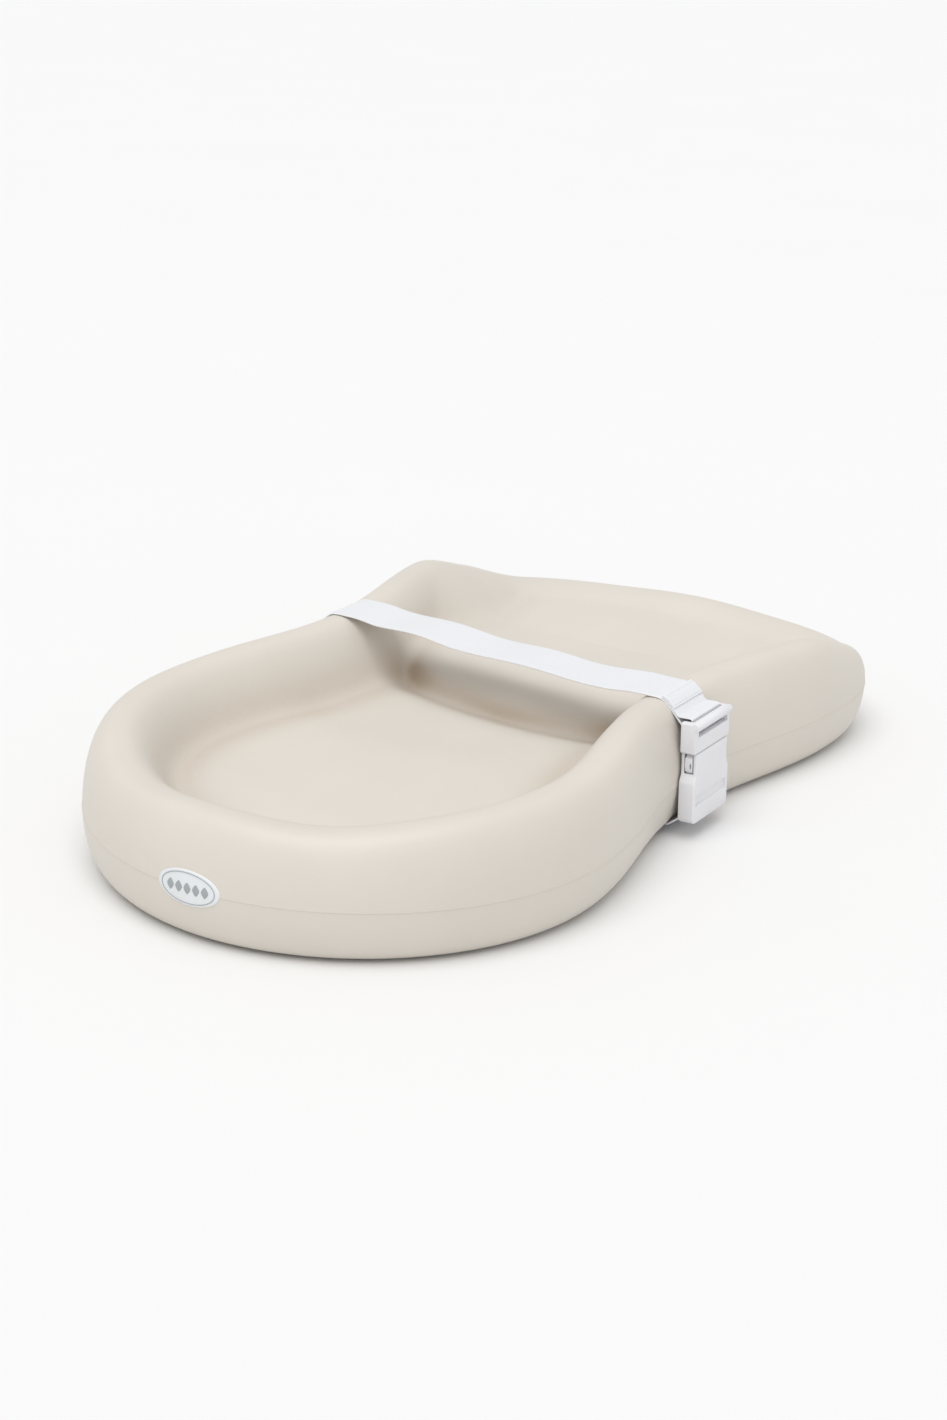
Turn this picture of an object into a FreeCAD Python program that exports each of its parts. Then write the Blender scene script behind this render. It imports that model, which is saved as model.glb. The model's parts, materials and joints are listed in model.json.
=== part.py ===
import FreeCAD, Part
import math
import os
import Sketcher
from FreeCAD import Vector

# Contoured baby changing pad: a one-piece integral-skin foam moulding with a raised rim round
# a head-and-back bowl and a higher seat that slopes to the foot end, a webbing safety strap with a side-release
# buckle, moulded-in anchor boards that hold the strap, push-in rubber feet and an oval badge.
# +X points to the shallow end, +Z up, and the buckle hangs on the -Y side.
# Lengths are millimetres and angles are degrees.

DIMENSIONS = {
    # foam moulding, plan view
    "pad_length": 813.0,
    "lobe_radius": 213.5,
    "waist_position": 11.4,
    "waist_half_width": 182.7,
    "seat_lobe_position": 247.5,
    "seat_lobe_half_width": 216.2,
    "seat_corner_radius": 130.0,
    # foam moulding, heights
    "foam_bottom": 1.5,
    "foam_block_height": 120.0,
    "outer_rim_radius": 34.0,
    "outer_foot_radius": 20.0,
    "basin_top_inset": 46.0,
    "head_floor": 60.0,
    "head_floor_inset": 72.0,
    "seat_floor": 85.0,
    "seat_floor_inset": 104.0,
    "seat_slope": 5.7,
    "step_position": 20.0,
    "step_run": 75.0,
    # webbing and the channel that it lies in under the pad
    "strap_centre": 12.0,
    "webbing_width": 50.0,
    "webbing_thickness": 1.6,
    "channel_width": 56.0,
    "channel_depth": 8.0,
    "webbing_hole_radius": 2.6,
    "webbing_gap": 1.4,
    "webbing_end_gap": 0.2,
    "webbing_split": 0.4,
    "webbing_anchored_length": 16.0,
    "turn_in_radius": 6.5,
    "near_crest_y": -167.6,
    "near_wall_y": -185.2,
    "near_wall_z": 89.9,
    "near_wall_radius": 8.0,
    "tail_end_y": -167.5,
    "tail_end_z": 113.2,
    "tail_rise": 2.6,
    "tail_radius": 3.0,
    # strap anchors
    "anchor_position": 96.0,
    "board_length": 68.0,
    "board_width": 34.0,
    "board_thickness": 12.0,
    "board_gap": 0.1,
    "retainer_length": 52.0,
    "retainer_width": 22.0,
    "retainer_thickness": 2.4,
    "screw_spacing": 30.0,
    "screw_radius": 2.0,
    "screw_length": 11.0,
    "screw_head_radius": 4.0,
    "screw_head_height": 2.2,
    "insert_radius": 3.6,
    "insert_length": 9.0,
    "insert_bore_radius": 2.05,
    # feet
    "foot_radius": 18.0,
    "foot_thickness": 3.5,
    "foot_stem_radius": 5.0,
    "foot_stem_length": 9.0,
    # badge
    "badge_height": 46.0,
    "badge_offset": 6.0,
    "badge_half_length": 27.0,
    "badge_half_height": 13.5,
    "badge_thickness": 2.0,
    "badge_front": -406.1,
    "badge_peg_spacing": 24.0,
    "badge_peg_radius": 1.6,
    "badge_peg_length": 8.0,
    # buckle
    "buckle_back": -186.8,
    "buckle_bottom": 14.5,
    "buckle_lean": -2.0,
    "buckle_half_width": 31.0,
    "buckle_thickness": 14.0,
    "socket_height": 58.0,
    "plug_bottom": 58.4,
    "plug_top": 84.0,
    "opening_half_width": 26.0,
    "bar_depth": 4.5,
    "bar_radius": 1.5,
    "fold_radius": 2.6,
    # socket: cavity for the prongs, side notches, catches and the opening for the fixed webbing
    "cavity_back": 2.5,
    "cavity_front": 11.5,
    "cavity_depth": 34.0,
    "notch_back": 3.0,
    "notch_front": 11.0,
    "notch_bottom": 41.0,
    "catch_bottom": 28.0,
    "catch_top": 37.0,
    "catch_half_width": 28.5,
    "socket_bar_height": 10.5,
    "loop_room_top": 17.5,
    "loop_room_depth": 8.8,
    "band_bottom": 14.5,
    "band_top": 23.5,
    "band_depth": 1.8,
    # plug: room for the adjustable webbing, front slot, lip and centre guide
    "plug_bar_height": 69.4,
    "fold_room_bottom": 64.0,
    "fold_room_depth": 9.2,
    "plug_slot_bottom": 72.0,
    "plug_slot_top": 77.0,
    "lip_radius": 3.4,
    "lip_depth": 12.6,
    "guide_half_width": 8.0,
    "guide_bottom": 28.0,
    "prong_back": 4.0,
    "prong_depth": 6.0,
    "prong_clearance": 0.6,
}

# Height of the rim's crest along the pad: (position along X, height)
CREST = [(-406.5, 97.0), (-250.0, 106.5), (-100.0, 111.2), (18.0, 112.8), (152.0, 109.5),
         (284.0, 86.5), (406.5, 64.0)]

# Centres of the rubber feet
FEET = [(-290.0, 115.0), (84.0, 120.0), (300.0, 120.0)]

XY, XZ, YZ = "XY_Plane", "XZ_Plane", "YZ_Plane"

doc = FreeCAD.newDocument("changing_pad")
sheet = doc.addObject("Spreadsheet::Sheet", "Sizes")
for row, (alias, value) in enumerate(DIMENSIONS.items(), start=1):
    sheet.set(f"A{row}", alias)
    sheet.set(f"B{row}", str(value))
    sheet.setAlias(f"B{row}", alias)
doc.recompute()

sub_parts = []


def size(alias):
    """Value of one driving dimension."""
    return float(getattr(sheet, alias))


# ---------------------------------------------------------------- helpers: bodies and sketches

def new_body(label):
    body = doc.addObject("PartDesign::Body", label)
    body.Label = label
    sub_parts.append(body)
    return body


def new_sketch(body, name, role, height=None):
    """Sketch on one of the body's origin planes, moved along its normal by an expression."""
    sketch = body.newObject("Sketcher::SketchObject", f"{body.Label}_{name}")
    plane = next(item for item in body.Origin.OriginFeatures if item.Role == role)
    sketch.AttachmentSupport = (plane, [""])
    sketch.MapMode = "FlatFace"
    if height is not None:
        sketch.setExpression("AttachmentOffset.Base.z", height)
    return sketch


def bind(sketch, kind, arguments, guess, expression):
    """Add one dimensional constraint and drive it from the sheet."""
    index = sketch.addConstraint(Sketcher.Constraint(kind, *arguments, guess))
    sketch.setExpression(f"Constraints[{index}]", expression)


def evaluate(expression):
    """Number that an expression over the sheet gives."""
    return float(sheet.evalExpression(expression))


def rectangle(sketch, left, bottom, right, top):
    """Axis-aligned rectangle whose four sides are expressions over the sheet."""
    x0, y0, x1, y1 = (evaluate(side) for side in (left, bottom, right, top))
    corners = [Vector(x0, y0), Vector(x1, y0), Vector(x1, y1), Vector(x0, y1)]
    first = sketch.GeometryCount
    for start, end in zip(corners, corners[1:] + corners[:1]):
        sketch.addGeometry(Part.LineSegment(start, end), False)
    for side in range(4):
        following = first + (side + 1) % 4
        sketch.addConstraint(Sketcher.Constraint("Coincident", first + side, 2, following, 1))
    for side, kind in enumerate(("Horizontal", "Vertical", "Horizontal", "Vertical")):
        sketch.addConstraint(Sketcher.Constraint(kind, first + side))
    bind(sketch, "DistanceX", (-1, 1, first, 1), x0, left)
    bind(sketch, "DistanceY", (-1, 1, first, 1), y0, bottom)
    bind(sketch, "DistanceX", (-1, 1, first + 2, 1), x1, right)
    bind(sketch, "DistanceY", (-1, 1, first + 2, 1), y1, top)


def circle(sketch, x, y, radius):
    """Circle whose centre and radius are expressions over the sheet."""
    centre = Vector(evaluate(x), evaluate(y))
    index = sketch.addGeometry(Part.Circle(centre, Vector(0, 0, 1), evaluate(radius)), False)
    bind(sketch, "DistanceX", (-1, 1, index, 3), centre.x, x)
    bind(sketch, "DistanceY", (-1, 1, index, 3), centre.y, y)
    bind(sketch, "Radius", (index,), evaluate(radius), radius)


def ellipse(sketch, x, y, half_width, half_height, scale=1.0):
    """Ellipse with its long axis along the sketch's X."""
    shape = Part.Ellipse(Vector(x, y), half_width * scale, half_height * scale)
    sketch.addGeometry(shape, False)


def polygon(sketch, points):
    corners = [Vector(x, y) for x, y in points]
    for start, end in zip(corners, corners[1:] + corners[:1]):
        sketch.addGeometry(Part.LineSegment(start, end), False)


def pad(body, sketch, length, symmetric=False, reverse=False):
    feature = body.newObject("PartDesign::Pad", f"{sketch.Name}_pad")
    feature.Profile = sketch
    feature.Midplane = symmetric
    feature.Reversed = reverse
    feature.setExpression("Length", length)
    return finish(body, feature, grows=True)


def pocket(body, sketch, length, symmetric=False, reverse=False):
    feature = body.newObject("PartDesign::Pocket", f"{sketch.Name}_pocket")
    feature.Profile = sketch
    feature.Midplane = symmetric
    feature.Reversed = reverse
    feature.setExpression("Length", length)
    return finish(body, feature, grows=False)


def finish(body, feature, grows):
    """Recompute, and check that the feature added or removed material as it should."""
    earlier = feature.BaseFeature.Shape.Volume if feature.BaseFeature else 0.0
    doc.recompute()
    change = feature.Shape.Volume - earlier
    if "Invalid" in feature.State or (change > 0) != grows or abs(change) < 1e-3:
        raise RuntimeError(f"{feature.Name} changed the volume by {change:.3f}")
    return feature


def dress(body, kind, base, edges, value, name):
    """Fillet or chamfer on some edges of the last feature."""
    feature = body.newObject(f"PartDesign::{kind}", f"{body.Label}_{name}")
    feature.Base = (base, edges)
    feature.setExpression("Radius" if kind == "Fillet" else "Size", value)
    doc.recompute()
    if "Invalid" in feature.State or feature.Shape.isNull():
        raise RuntimeError(f"{feature.Name} failed")
    return feature


def edges_where(feature, test):
    """Names of the feature's edges whose bounding box passes a test."""
    return [f"Edge{i}" for i, edge in enumerate(feature.Shape.Edges, start=1) if test(edge.BoundBox)]


# ---------------------------------------------------------------- foam moulding

def arc(x, y, radius, start, end):
    """Circular arc from one angle to another, in radians, anticlockwise."""
    return Part.ArcOfCircle(Part.Circle(Vector(x, y), Vector(0, 0, 1), radius), start, end)


def blend_radius(run, rise):
    """Radius of two equal tangent arcs that make an S of this run and rise."""
    return (run * run + rise * rise) / (4 * rise)


def pad_outline(inset, cut=None):
    """Plan outline moved inwards by inset: a round lobe, a waist and a squarer seat lobe.

    With cut, the outline stops at that X, on the seat side of the waist, in a straight edge."""
    half_length = size("pad_length") / 2
    lobe, lobe_x = size("lobe_radius"), size("lobe_radius") - half_length
    waist, waist_x = size("waist_half_width"), size("waist_position")
    seat, seat_x = size("seat_lobe_half_width"), size("seat_lobe_position")
    corner = size("seat_corner_radius")

    head_run, seat_run = waist_x - lobe_x, seat_x - waist_x
    head_blend = blend_radius(head_run, lobe - waist)
    seat_blend = blend_radius(seat_run, seat - waist)
    head_turn = math.asin(head_run / 2 / head_blend)
    seat_turn = math.asin(seat_run / 2 / seat_blend)

    # End arc that meets both corner arcs: its centre follows from their tangency
    reach, offset = half_length - seat_x, seat - corner
    end = (reach ** 2 + offset ** 2 - corner ** 2) / (2 * (reach - corner))
    end_x = half_length - end
    corner_turn = math.atan2(offset, seat_x - end_x)

    quarter = math.pi / 2
    chain = [
        (lobe_x, 0.0, lobe - inset, quarter, 2 * quarter),
        (lobe_x, lobe - head_blend, head_blend - inset, quarter - head_turn, quarter),
        (waist_x, waist + head_blend, head_blend + inset, 3 * quarter - head_turn, 3 * quarter),
    ]
    if cut is None:
        chain += [
            (waist_x, waist + seat_blend, seat_blend + inset, 3 * quarter, 3 * quarter + seat_turn),
            (seat_x, seat - seat_blend, seat_blend - inset, quarter, quarter + seat_turn),
            (seat_x, offset, corner - inset, corner_turn, quarter),
            (end_x, 0.0, end - inset, 0.0, corner_turn),
        ]
    else:
        turn = math.asin((cut - waist_x) / (seat_blend + inset))
        chain.append((waist_x, waist + seat_blend, seat_blend + inset, 3 * quarter, 3 * quarter + turn))
    outline = []
    for x, y, radius, start, stop in chain:
        outline.append(arc(x, y, radius, start, stop))
        outline.append(arc(x, -y, radius, -stop, -start))
    if cut is not None:
        level = waist + seat_blend - (seat_blend + inset) * math.cos(turn)
        outline.append(Part.LineSegment(Vector(cut, -level), Vector(cut, level)))
    return outline


def basin(body, name, floor, floor_inset, slope=0.0, floor_cut=None, top_cut=None):
    """Hollow with sloping walls, between a floor outline and a wider opening above the rim.

    The floor's height is given at the middle of the pad, and a slope falls towards +X."""
    lower = new_sketch(body, f"{name}_floor", XY)
    lower.AttachmentOffset = FreeCAD.Placement(Vector(0, 0, size(floor)),
                                               FreeCAD.Rotation(Vector(0, 1, 0), slope))
    lower.setExpression("AttachmentOffset.Base.z", f"Sizes.{floor}")
    lower.addGeometry(pad_outline(size(floor_inset), floor_cut), False)
    upper = new_sketch(body, f"{name}_opening", XY, "Sizes.foam_block_height")
    upper.addGeometry(pad_outline(size("basin_top_inset"), top_cut), False)
    loft = body.newObject("PartDesign::SubtractiveLoft", f"{body.Label}_{name}")
    loft.Profile = lower
    loft.Sections = [upper]
    loft.Ruled = True
    return finish(body, loft, grows=False)


def build_foam():
    body = new_body("foam_body")
    outline = new_sketch(body, "outline", XY, "Sizes.foam_bottom")
    outline.addGeometry(pad_outline(0.0), False)
    block = pad(body, outline, "Sizes.foam_block_height - Sizes.foam_bottom")

    # The rim's crest rises from the head end to the waist and falls away round the seat
    crest = Part.BSplineCurve()
    crest.interpolate([Vector(x, z) for x, z in CREST])
    (first_x, first_z), (last_x, last_z) = CREST[0], CREST[-1]
    above = size("foam_block_height") + 5.0
    side = new_sketch(body, "crest", XZ)
    side.addGeometry(crest, False)
    side.addGeometry(Part.LineSegment(Vector(last_x, last_z), Vector(last_x, above)), False)
    side.addGeometry(Part.LineSegment(Vector(last_x, above), Vector(first_x, above)), False)
    side.addGeometry(Part.LineSegment(Vector(first_x, above), Vector(first_x, first_z)), False)
    block = pocket(body, side, "2 * Sizes.pad_length", symmetric=True)

    bottom = size("foam_bottom")
    lowest_crest = min(z for _, z in CREST) - 5.0
    rim = edges_where(block, lambda box: box.ZMin > lowest_crest)
    block = dress(body, "Fillet", block, rim, "Sizes.outer_rim_radius", "rim_round")
    foot = edges_where(block, lambda box: box.ZMax < bottom + 0.1)
    block = dress(body, "Fillet", block, foot, "Sizes.outer_foot_radius", "foot_round")

    basin(body, "seat_basin", "seat_floor", "seat_floor_inset", slope=size("seat_slope"))
    step = size("step_position")
    basin(body, "head_basin", "head_floor", "head_floor_inset",
          floor_cut=step, top_cut=step + size("step_run"))

    # Channel for the webbing across the underside, and a deeper seat for each anchor board
    channel = new_sketch(body, "channel", XZ)
    rectangle(channel, "Sizes.strap_centre - 0.5 * Sizes.channel_width", "0",
              "Sizes.strap_centre + 0.5 * Sizes.channel_width",
              "Sizes.foam_bottom + Sizes.channel_depth")
    pocket(body, channel, "Sizes.pad_length", symmetric=True)
    for side_sign in ("-", ""):
        recess = new_sketch(body, "board_recess", XY, "Sizes.foam_bottom + Sizes.channel_depth")
        centre = f"{side_sign}Sizes.anchor_position"
        rectangle(recess,
                  "Sizes.strap_centre - 0.5 * Sizes.board_length - Sizes.board_gap",
                  f"{centre} - 0.5 * Sizes.board_width - Sizes.board_gap",
                  "Sizes.strap_centre + 0.5 * Sizes.board_length + Sizes.board_gap",
                  f"{centre} + 0.5 * Sizes.board_width + Sizes.board_gap")
        pocket(body, recess, "Sizes.board_thickness + Sizes.board_gap", reverse=True)

    # Seats for the feet
    discs = new_sketch(body, "foot_discs", XY, "Sizes.foam_bottom")
    stems = new_sketch(body, "foot_stems", XY, "Sizes.foam_bottom")
    for x, y in FEET:
        for level in (-y, y):
            circle(discs, str(x), str(level), "Sizes.foot_radius + 0.2")
            circle(stems, str(x), str(level), "Sizes.foot_stem_radius + 0.1")
    pocket(body, discs, "Sizes.foot_thickness - Sizes.foam_bottom", reverse=True)
    pocket(body, stems, "Sizes.foot_thickness + Sizes.foot_stem_length - Sizes.foam_bottom + 0.3",
           reverse=True)

    # Seat for the badge in the head end's outer wall
    seat = new_sketch(body, "badge_seat", YZ, "-0.5 * Sizes.pad_length")
    ellipse(seat, size("badge_offset"), size("badge_height"), size("badge_half_length") + 0.2,
            size("badge_half_height") + 0.2)
    pocket(body, seat, "Sizes.badge_front + Sizes.badge_thickness + 0.5 * Sizes.pad_length + 0.1",
           reverse=True)
    pegs = new_sketch(body, "badge_peg_holes", YZ, "-0.5 * Sizes.pad_length")
    for sign in ("-0.5", "0.5"):
        circle(pegs, f"Sizes.badge_offset + {sign} * Sizes.badge_peg_spacing", "Sizes.badge_height",
               "Sizes.badge_peg_radius + 0.1")
    pocket(body, pegs, "Sizes.badge_peg_length + 4.0", reverse=True)


# ---------------------------------------------------------------- webbing

def direction(start, end):
    """Unit vector from one (y, z, ...) point to another."""
    return (Vector(end[0], end[1]) - Vector(start[0], start[1])).normalize()


def band_sides(route, thickness):
    """Two sides of a band of even thickness along a route of (y, z, corner radius) points.

    Straight runs are joined by tangent arcs, and both sides share the arcs' centres."""
    sides = []
    for shift in (thickness / 2, -thickness / 2):
        ahead = direction(route[0], route[1])
        start = Vector(*route[0][:2]) + Vector(-ahead.y, ahead.x) * shift
        side = []
        for before, corner, after in zip(route, route[1:], route[2:]):
            point, radius = Vector(*corner[:2]), corner[2]
            back, ahead = direction(corner, before), direction(corner, after)
            half_angle = back.getAngle(ahead) / 2
            centre = point + (back + ahead).normalize() * (radius / math.sin(half_angle))
            reach = radius / math.tan(half_angle)
            turns_left = back.x * ahead.y - back.y * ahead.x < 0
            own_radius = radius - shift if turns_left else radius + shift
            first = centre + (point + back * reach - centre) * (own_radius / radius)
            last = centre + (point + ahead * reach - centre) * (own_radius / radius)
            crown = centre + (point - centre).normalize() * own_radius
            side.append(Part.LineSegment(start, first))
            side.append(Part.Arc(first, crown, last))
            start = last
        ahead = direction(route[-2], route[-1])
        end = Vector(*route[-1][:2]) + Vector(-ahead.y, ahead.x) * shift
        side.append(Part.LineSegment(start, end))
        sides.append(side)
    return sides


def webbing(label, route):
    """Flat webbing along a route across the pad, straight in X, as one closed solid."""
    body = new_body(label)
    sketch = new_sketch(body, "profile", YZ, "Sizes.strap_centre")
    left, right = band_sides(route, size("webbing_thickness"))
    sketch.addGeometry(left + right, False)
    sketch.addGeometry(Part.LineSegment(left[0].StartPoint, right[0].StartPoint), False)
    sketch.addGeometry(Part.LineSegment(left[-1].EndPoint, right[-1].EndPoint), False)
    pad(body, sketch, "Sizes.webbing_width", symmetric=True)
    return body


def in_buckle(depth, height):
    """(y, z) of a point in the buckle: depth from its back face, height from its bottom."""
    lean = math.radians(-size("buckle_lean"))
    y = size("buckle_back") - depth * math.cos(lean) + height * math.sin(lean)
    z = size("buckle_bottom") + depth * math.sin(lean) + height * math.cos(lean)
    return y, z


def build_webbing():
    thickness, rim_radius, gap = size("webbing_thickness"), size("outer_rim_radius"), size("webbing_gap")
    fold, clear = size("fold_radius"), size("board_gap")
    turn_in = size("turn_in_radius")
    crest = max(z for _, z in CREST) + clear
    top = crest + gap + thickness / 2
    wrap = rim_radius + gap + thickness / 2
    wall = size("waist_half_width") + gap + thickness / 2 + clear
    under = size("foam_bottom") + size("channel_depth") - 3 * clear - thickness / 2
    split = wall - wrap - size("webbing_split")
    anchor_end = size("anchor_position") - size("webbing_anchored_length")

    # Anchored half: from the far crest down the far wall and in under the pad
    far = webbing("strap_far", [
        (split + size("webbing_end_gap"), top, 0), (wall, top, wrap), (wall, under, turn_in),
        (anchor_end, under, 0)])
    drill_webbing(far, "")

    # Short half: in under the pad from the fold round the socket's bar
    rear, fore = size("bar_depth") - fold - clear, size("bar_depth") + fold + clear
    fold_reach = fold + thickness / 2 + clear
    fold_top = size("socket_bar_height") + fold_reach
    near = webbing("strap_near", [
        (*in_buckle(fore, 0.0), 0), (*in_buckle(fore, fold_top), fold),
        (*in_buckle(rear, fold_top), fold), (in_buckle(rear, 0.0)[0], under, turn_in),
        (-anchor_end, under, 0)])
    drill_webbing(near, "-")

    # Free half: across the pad, over the near crest, round the plug's bar and back up
    fold_bottom = size("plug_bar_height") - fold_reach
    exit_level = size("plug_top") + size("webbing_split")
    webbing("strap_span", [
        (split, top, 0), (size("near_crest_y"), top, wrap),
        (size("near_wall_y"), size("near_wall_z"), size("near_wall_radius")),
        (*in_buckle(rear, fold_bottom), fold), (*in_buckle(fore, fold_bottom), fold),
        (*in_buckle(fore, exit_level), 0)])
    webbing("strap_tail", [
        (*in_buckle(fore, exit_level + size("webbing_end_gap")), 0),
        (*in_buckle(fore, exit_level + size("tail_rise")), size("tail_radius")),
        (size("tail_end_y"), size("tail_end_z"), 0)])


def drill_webbing(body, sign):
    """Two holes for the retainer's screws."""
    holes = new_sketch(body, "holes", XY)
    for side in ("-0.5", "0.5"):
        circle(holes, f"Sizes.strap_centre + {side} * Sizes.screw_spacing",
               f"{sign}Sizes.anchor_position", "Sizes.webbing_hole_radius")
    pocket(body, holes, "20", reverse=True)


# ---------------------------------------------------------------- strap anchors

def screw_places(body, name, sign, height, radius):
    """Sketch of the two screw positions of one anchor."""
    sketch = new_sketch(body, name, XY, height)
    for side in ("-0.5", "0.5"):
        circle(sketch, f"Sizes.strap_centre + {side} * Sizes.screw_spacing",
               f"{sign}Sizes.anchor_position", radius)
    return sketch


def block(body, name, sign, height, length, width):
    """Sketch of a rectangle centred on one anchor."""
    sketch = new_sketch(body, name, XY, height)
    rectangle(sketch, f"Sizes.strap_centre - 0.5 * Sizes.{length}",
              f"{sign}Sizes.anchor_position - 0.5 * Sizes.{width}",
              f"Sizes.strap_centre + 0.5 * Sizes.{length}",
              f"{sign}Sizes.anchor_position + 0.5 * Sizes.{width}")
    return sketch


def build_anchor(label, sign):
    roof = "Sizes.foam_bottom + Sizes.channel_depth"
    board = new_body(f"anchor_board_{label}")
    pad(board, block(board, "outline", sign, roof, "board_length", "board_width"),
        "Sizes.board_thickness")
    pocket(board, screw_places(board, "insert_holes", sign, roof, "Sizes.insert_radius"),
           "Sizes.board_thickness", reverse=True)

    plate = new_body(f"strap_retainer_{label}")
    face = f"{roof} - Sizes.webbing_thickness - 0.6"
    outline = block(plate, "outline", sign, face, "retainer_length", "retainer_width")
    plate_pad = pad(plate, outline, "Sizes.retainer_thickness", reverse=True)
    corners = edges_where(plate_pad, lambda box: box.XLength + box.YLength < 0.01)
    dress(plate, "Fillet", plate_pad, corners, "4", "corners")
    pocket(plate, screw_places(plate, "holes", sign, face, "Sizes.screw_radius + 0.25"),
           "2 * Sizes.retainer_thickness", symmetric=True)


def build_screws():
    """Four pan-head screws, one node: heads under the retainers, shanks up in the inserts."""
    seat = ("Sizes.foam_bottom + Sizes.channel_depth - Sizes.webbing_thickness - 0.6"
            " - Sizes.retainer_thickness")
    for index, (sign, side) in enumerate((a, b) for a in ("-", "") for b in ("-0.5", "0.5")):
        screw = doc.addObject("PartDesign::Body", f"screw_{index}")
        places = []
        for name, radius in (("head", "screw_head_radius"), ("shank", "screw_radius")):
            sketch = new_sketch(screw, name, XY, seat)
            circle(sketch, f"Sizes.strap_centre + {side} * Sizes.screw_spacing",
                   f"{sign}Sizes.anchor_position", f"Sizes.{radius}")
            places.append(sketch)
        head = pad(screw, places[0], "Sizes.screw_head_height", reverse=True)
        low = head.Shape.BoundBox.ZMin + 0.01
        edges = edges_where(head, lambda box: box.ZMax < low)
        dress(screw, "Fillet", head, edges, "1", "round")
        pad(screw, places[1], "Sizes.screw_length")
        screws.append(screw)
        insert = doc.addObject("PartDesign::Body", f"insert_{index}")
        sketch = new_sketch(insert, "section", XY, "Sizes.foam_bottom + Sizes.channel_depth")
        for radius in ("insert_radius", "insert_bore_radius"):
            circle(sketch, f"Sizes.strap_centre + {side} * Sizes.screw_spacing",
                   f"{sign}Sizes.anchor_position", f"Sizes.{radius}")
        pad(insert, sketch, "Sizes.insert_length")
        inserts.append(insert)


def group(label, bodies):
    """One node that holds several identical, separate solids."""
    compound = doc.addObject("Part::Compound", label)
    compound.Label = label
    compound.Links = bodies
    sub_parts.append(compound)


# ---------------------------------------------------------------- feet and badge

def build_foot(label, x, y):
    """Push-in rubber foot: a disc under the foam and a stem up in it."""
    body = new_body(label)
    disc = new_sketch(body, "disc", XY)
    circle(disc, str(x), str(y), "Sizes.foot_radius")
    base = pad(body, disc, "Sizes.foot_thickness")
    low = edges_where(base, lambda box: box.ZMax < 0.01)
    dress(body, "Chamfer", base, low, "0.6", "edge")
    stem = new_sketch(body, "stem", XY, "Sizes.foot_thickness")
    circle(stem, str(x), str(y), "Sizes.foot_stem_radius")
    pad(body, stem, "Sizes.foot_stem_length")


def build_badge():
    half_length, half_height = size("badge_half_length"), size("badge_half_height")
    middle, height = size("badge_offset"), size("badge_height")
    plate = new_body("badge_plate")
    oval = new_sketch(plate, "oval", YZ, "Sizes.badge_front")
    ellipse(oval, middle, height, half_length, half_height)
    pad(plate, oval, "Sizes.badge_thickness")
    pegs = new_sketch(plate, "pegs", YZ, "Sizes.badge_front + Sizes.badge_thickness")
    for sign in ("-0.5", "0.5"):
        circle(pegs, f"Sizes.badge_offset + {sign} * Sizes.badge_peg_spacing", "Sizes.badge_height",
               "Sizes.badge_peg_radius")
    pad(plate, pegs, "Sizes.badge_peg_length")
    groove = new_sketch(plate, "groove", YZ, "Sizes.badge_front")
    ellipse(groove, middle, height, half_length, half_height, 0.80)
    ellipse(groove, middle, height, half_length, half_height, 0.70)
    pocket(plate, groove, "0.5", reverse=True)

    # Plain oval line let into the plate's groove
    ring = new_body("badge_ring")
    line = new_sketch(ring, "line", YZ, "Sizes.badge_front")
    ellipse(line, middle, height, half_length, half_height, 0.80)
    ellipse(line, middle, height, half_length, half_height, 0.70)
    pad(ring, line, "0.5")


# ---------------------------------------------------------------- buckle

# Outline of the right-hand prong, from its root in the plug round the finger pad to the barb
PRONG = [(13.5, 61.6), (17.5, 61.6), (18.6, 57.6), (24.6, 57.2), (28.6, 54.0), (29.0, 48.0),
         (28.2, 43.6), (25.2, 41.0), (25.2, 36.3), (27.8, 35.8), (27.8, 34.6), (25.0, 30.4),
         (22.6, 29.0), (21.6, 31.0), (21.4, 40.0), (19.8, 50.0), (15.4, 57.0), (13.5, 58.0)]


def place_in_buckle(body):
    """Stand a body, built with its back on the XZ plane, in the buckle's leaning frame."""
    body.setExpression("Placement.Base.x", "Sizes.strap_centre")
    body.setExpression("Placement.Base.y", "Sizes.buckle_back")
    body.setExpression("Placement.Base.z", "Sizes.buckle_bottom")
    body.Placement.Rotation = FreeCAD.Rotation(Vector(1, 0, 0), size("buckle_lean"))


def cut_window(body, name, low, high, start, depth):
    """Opening of the webbing's width, from a start behind the back face and so deep."""
    sketch = new_sketch(body, name, XZ, start)
    rectangle(sketch, "-Sizes.opening_half_width", low, "Sizes.opening_half_width", high)
    pocket(body, sketch, depth, reverse=True)


def cross_bar(body, height):
    """Round bar for the webbing across the whole width."""
    sketch = new_sketch(body, "bar", YZ)
    circle(sketch, "-Sizes.bar_depth", height, "Sizes.bar_radius")
    pad(body, sketch, "2 * Sizes.buckle_half_width", symmetric=True)


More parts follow.
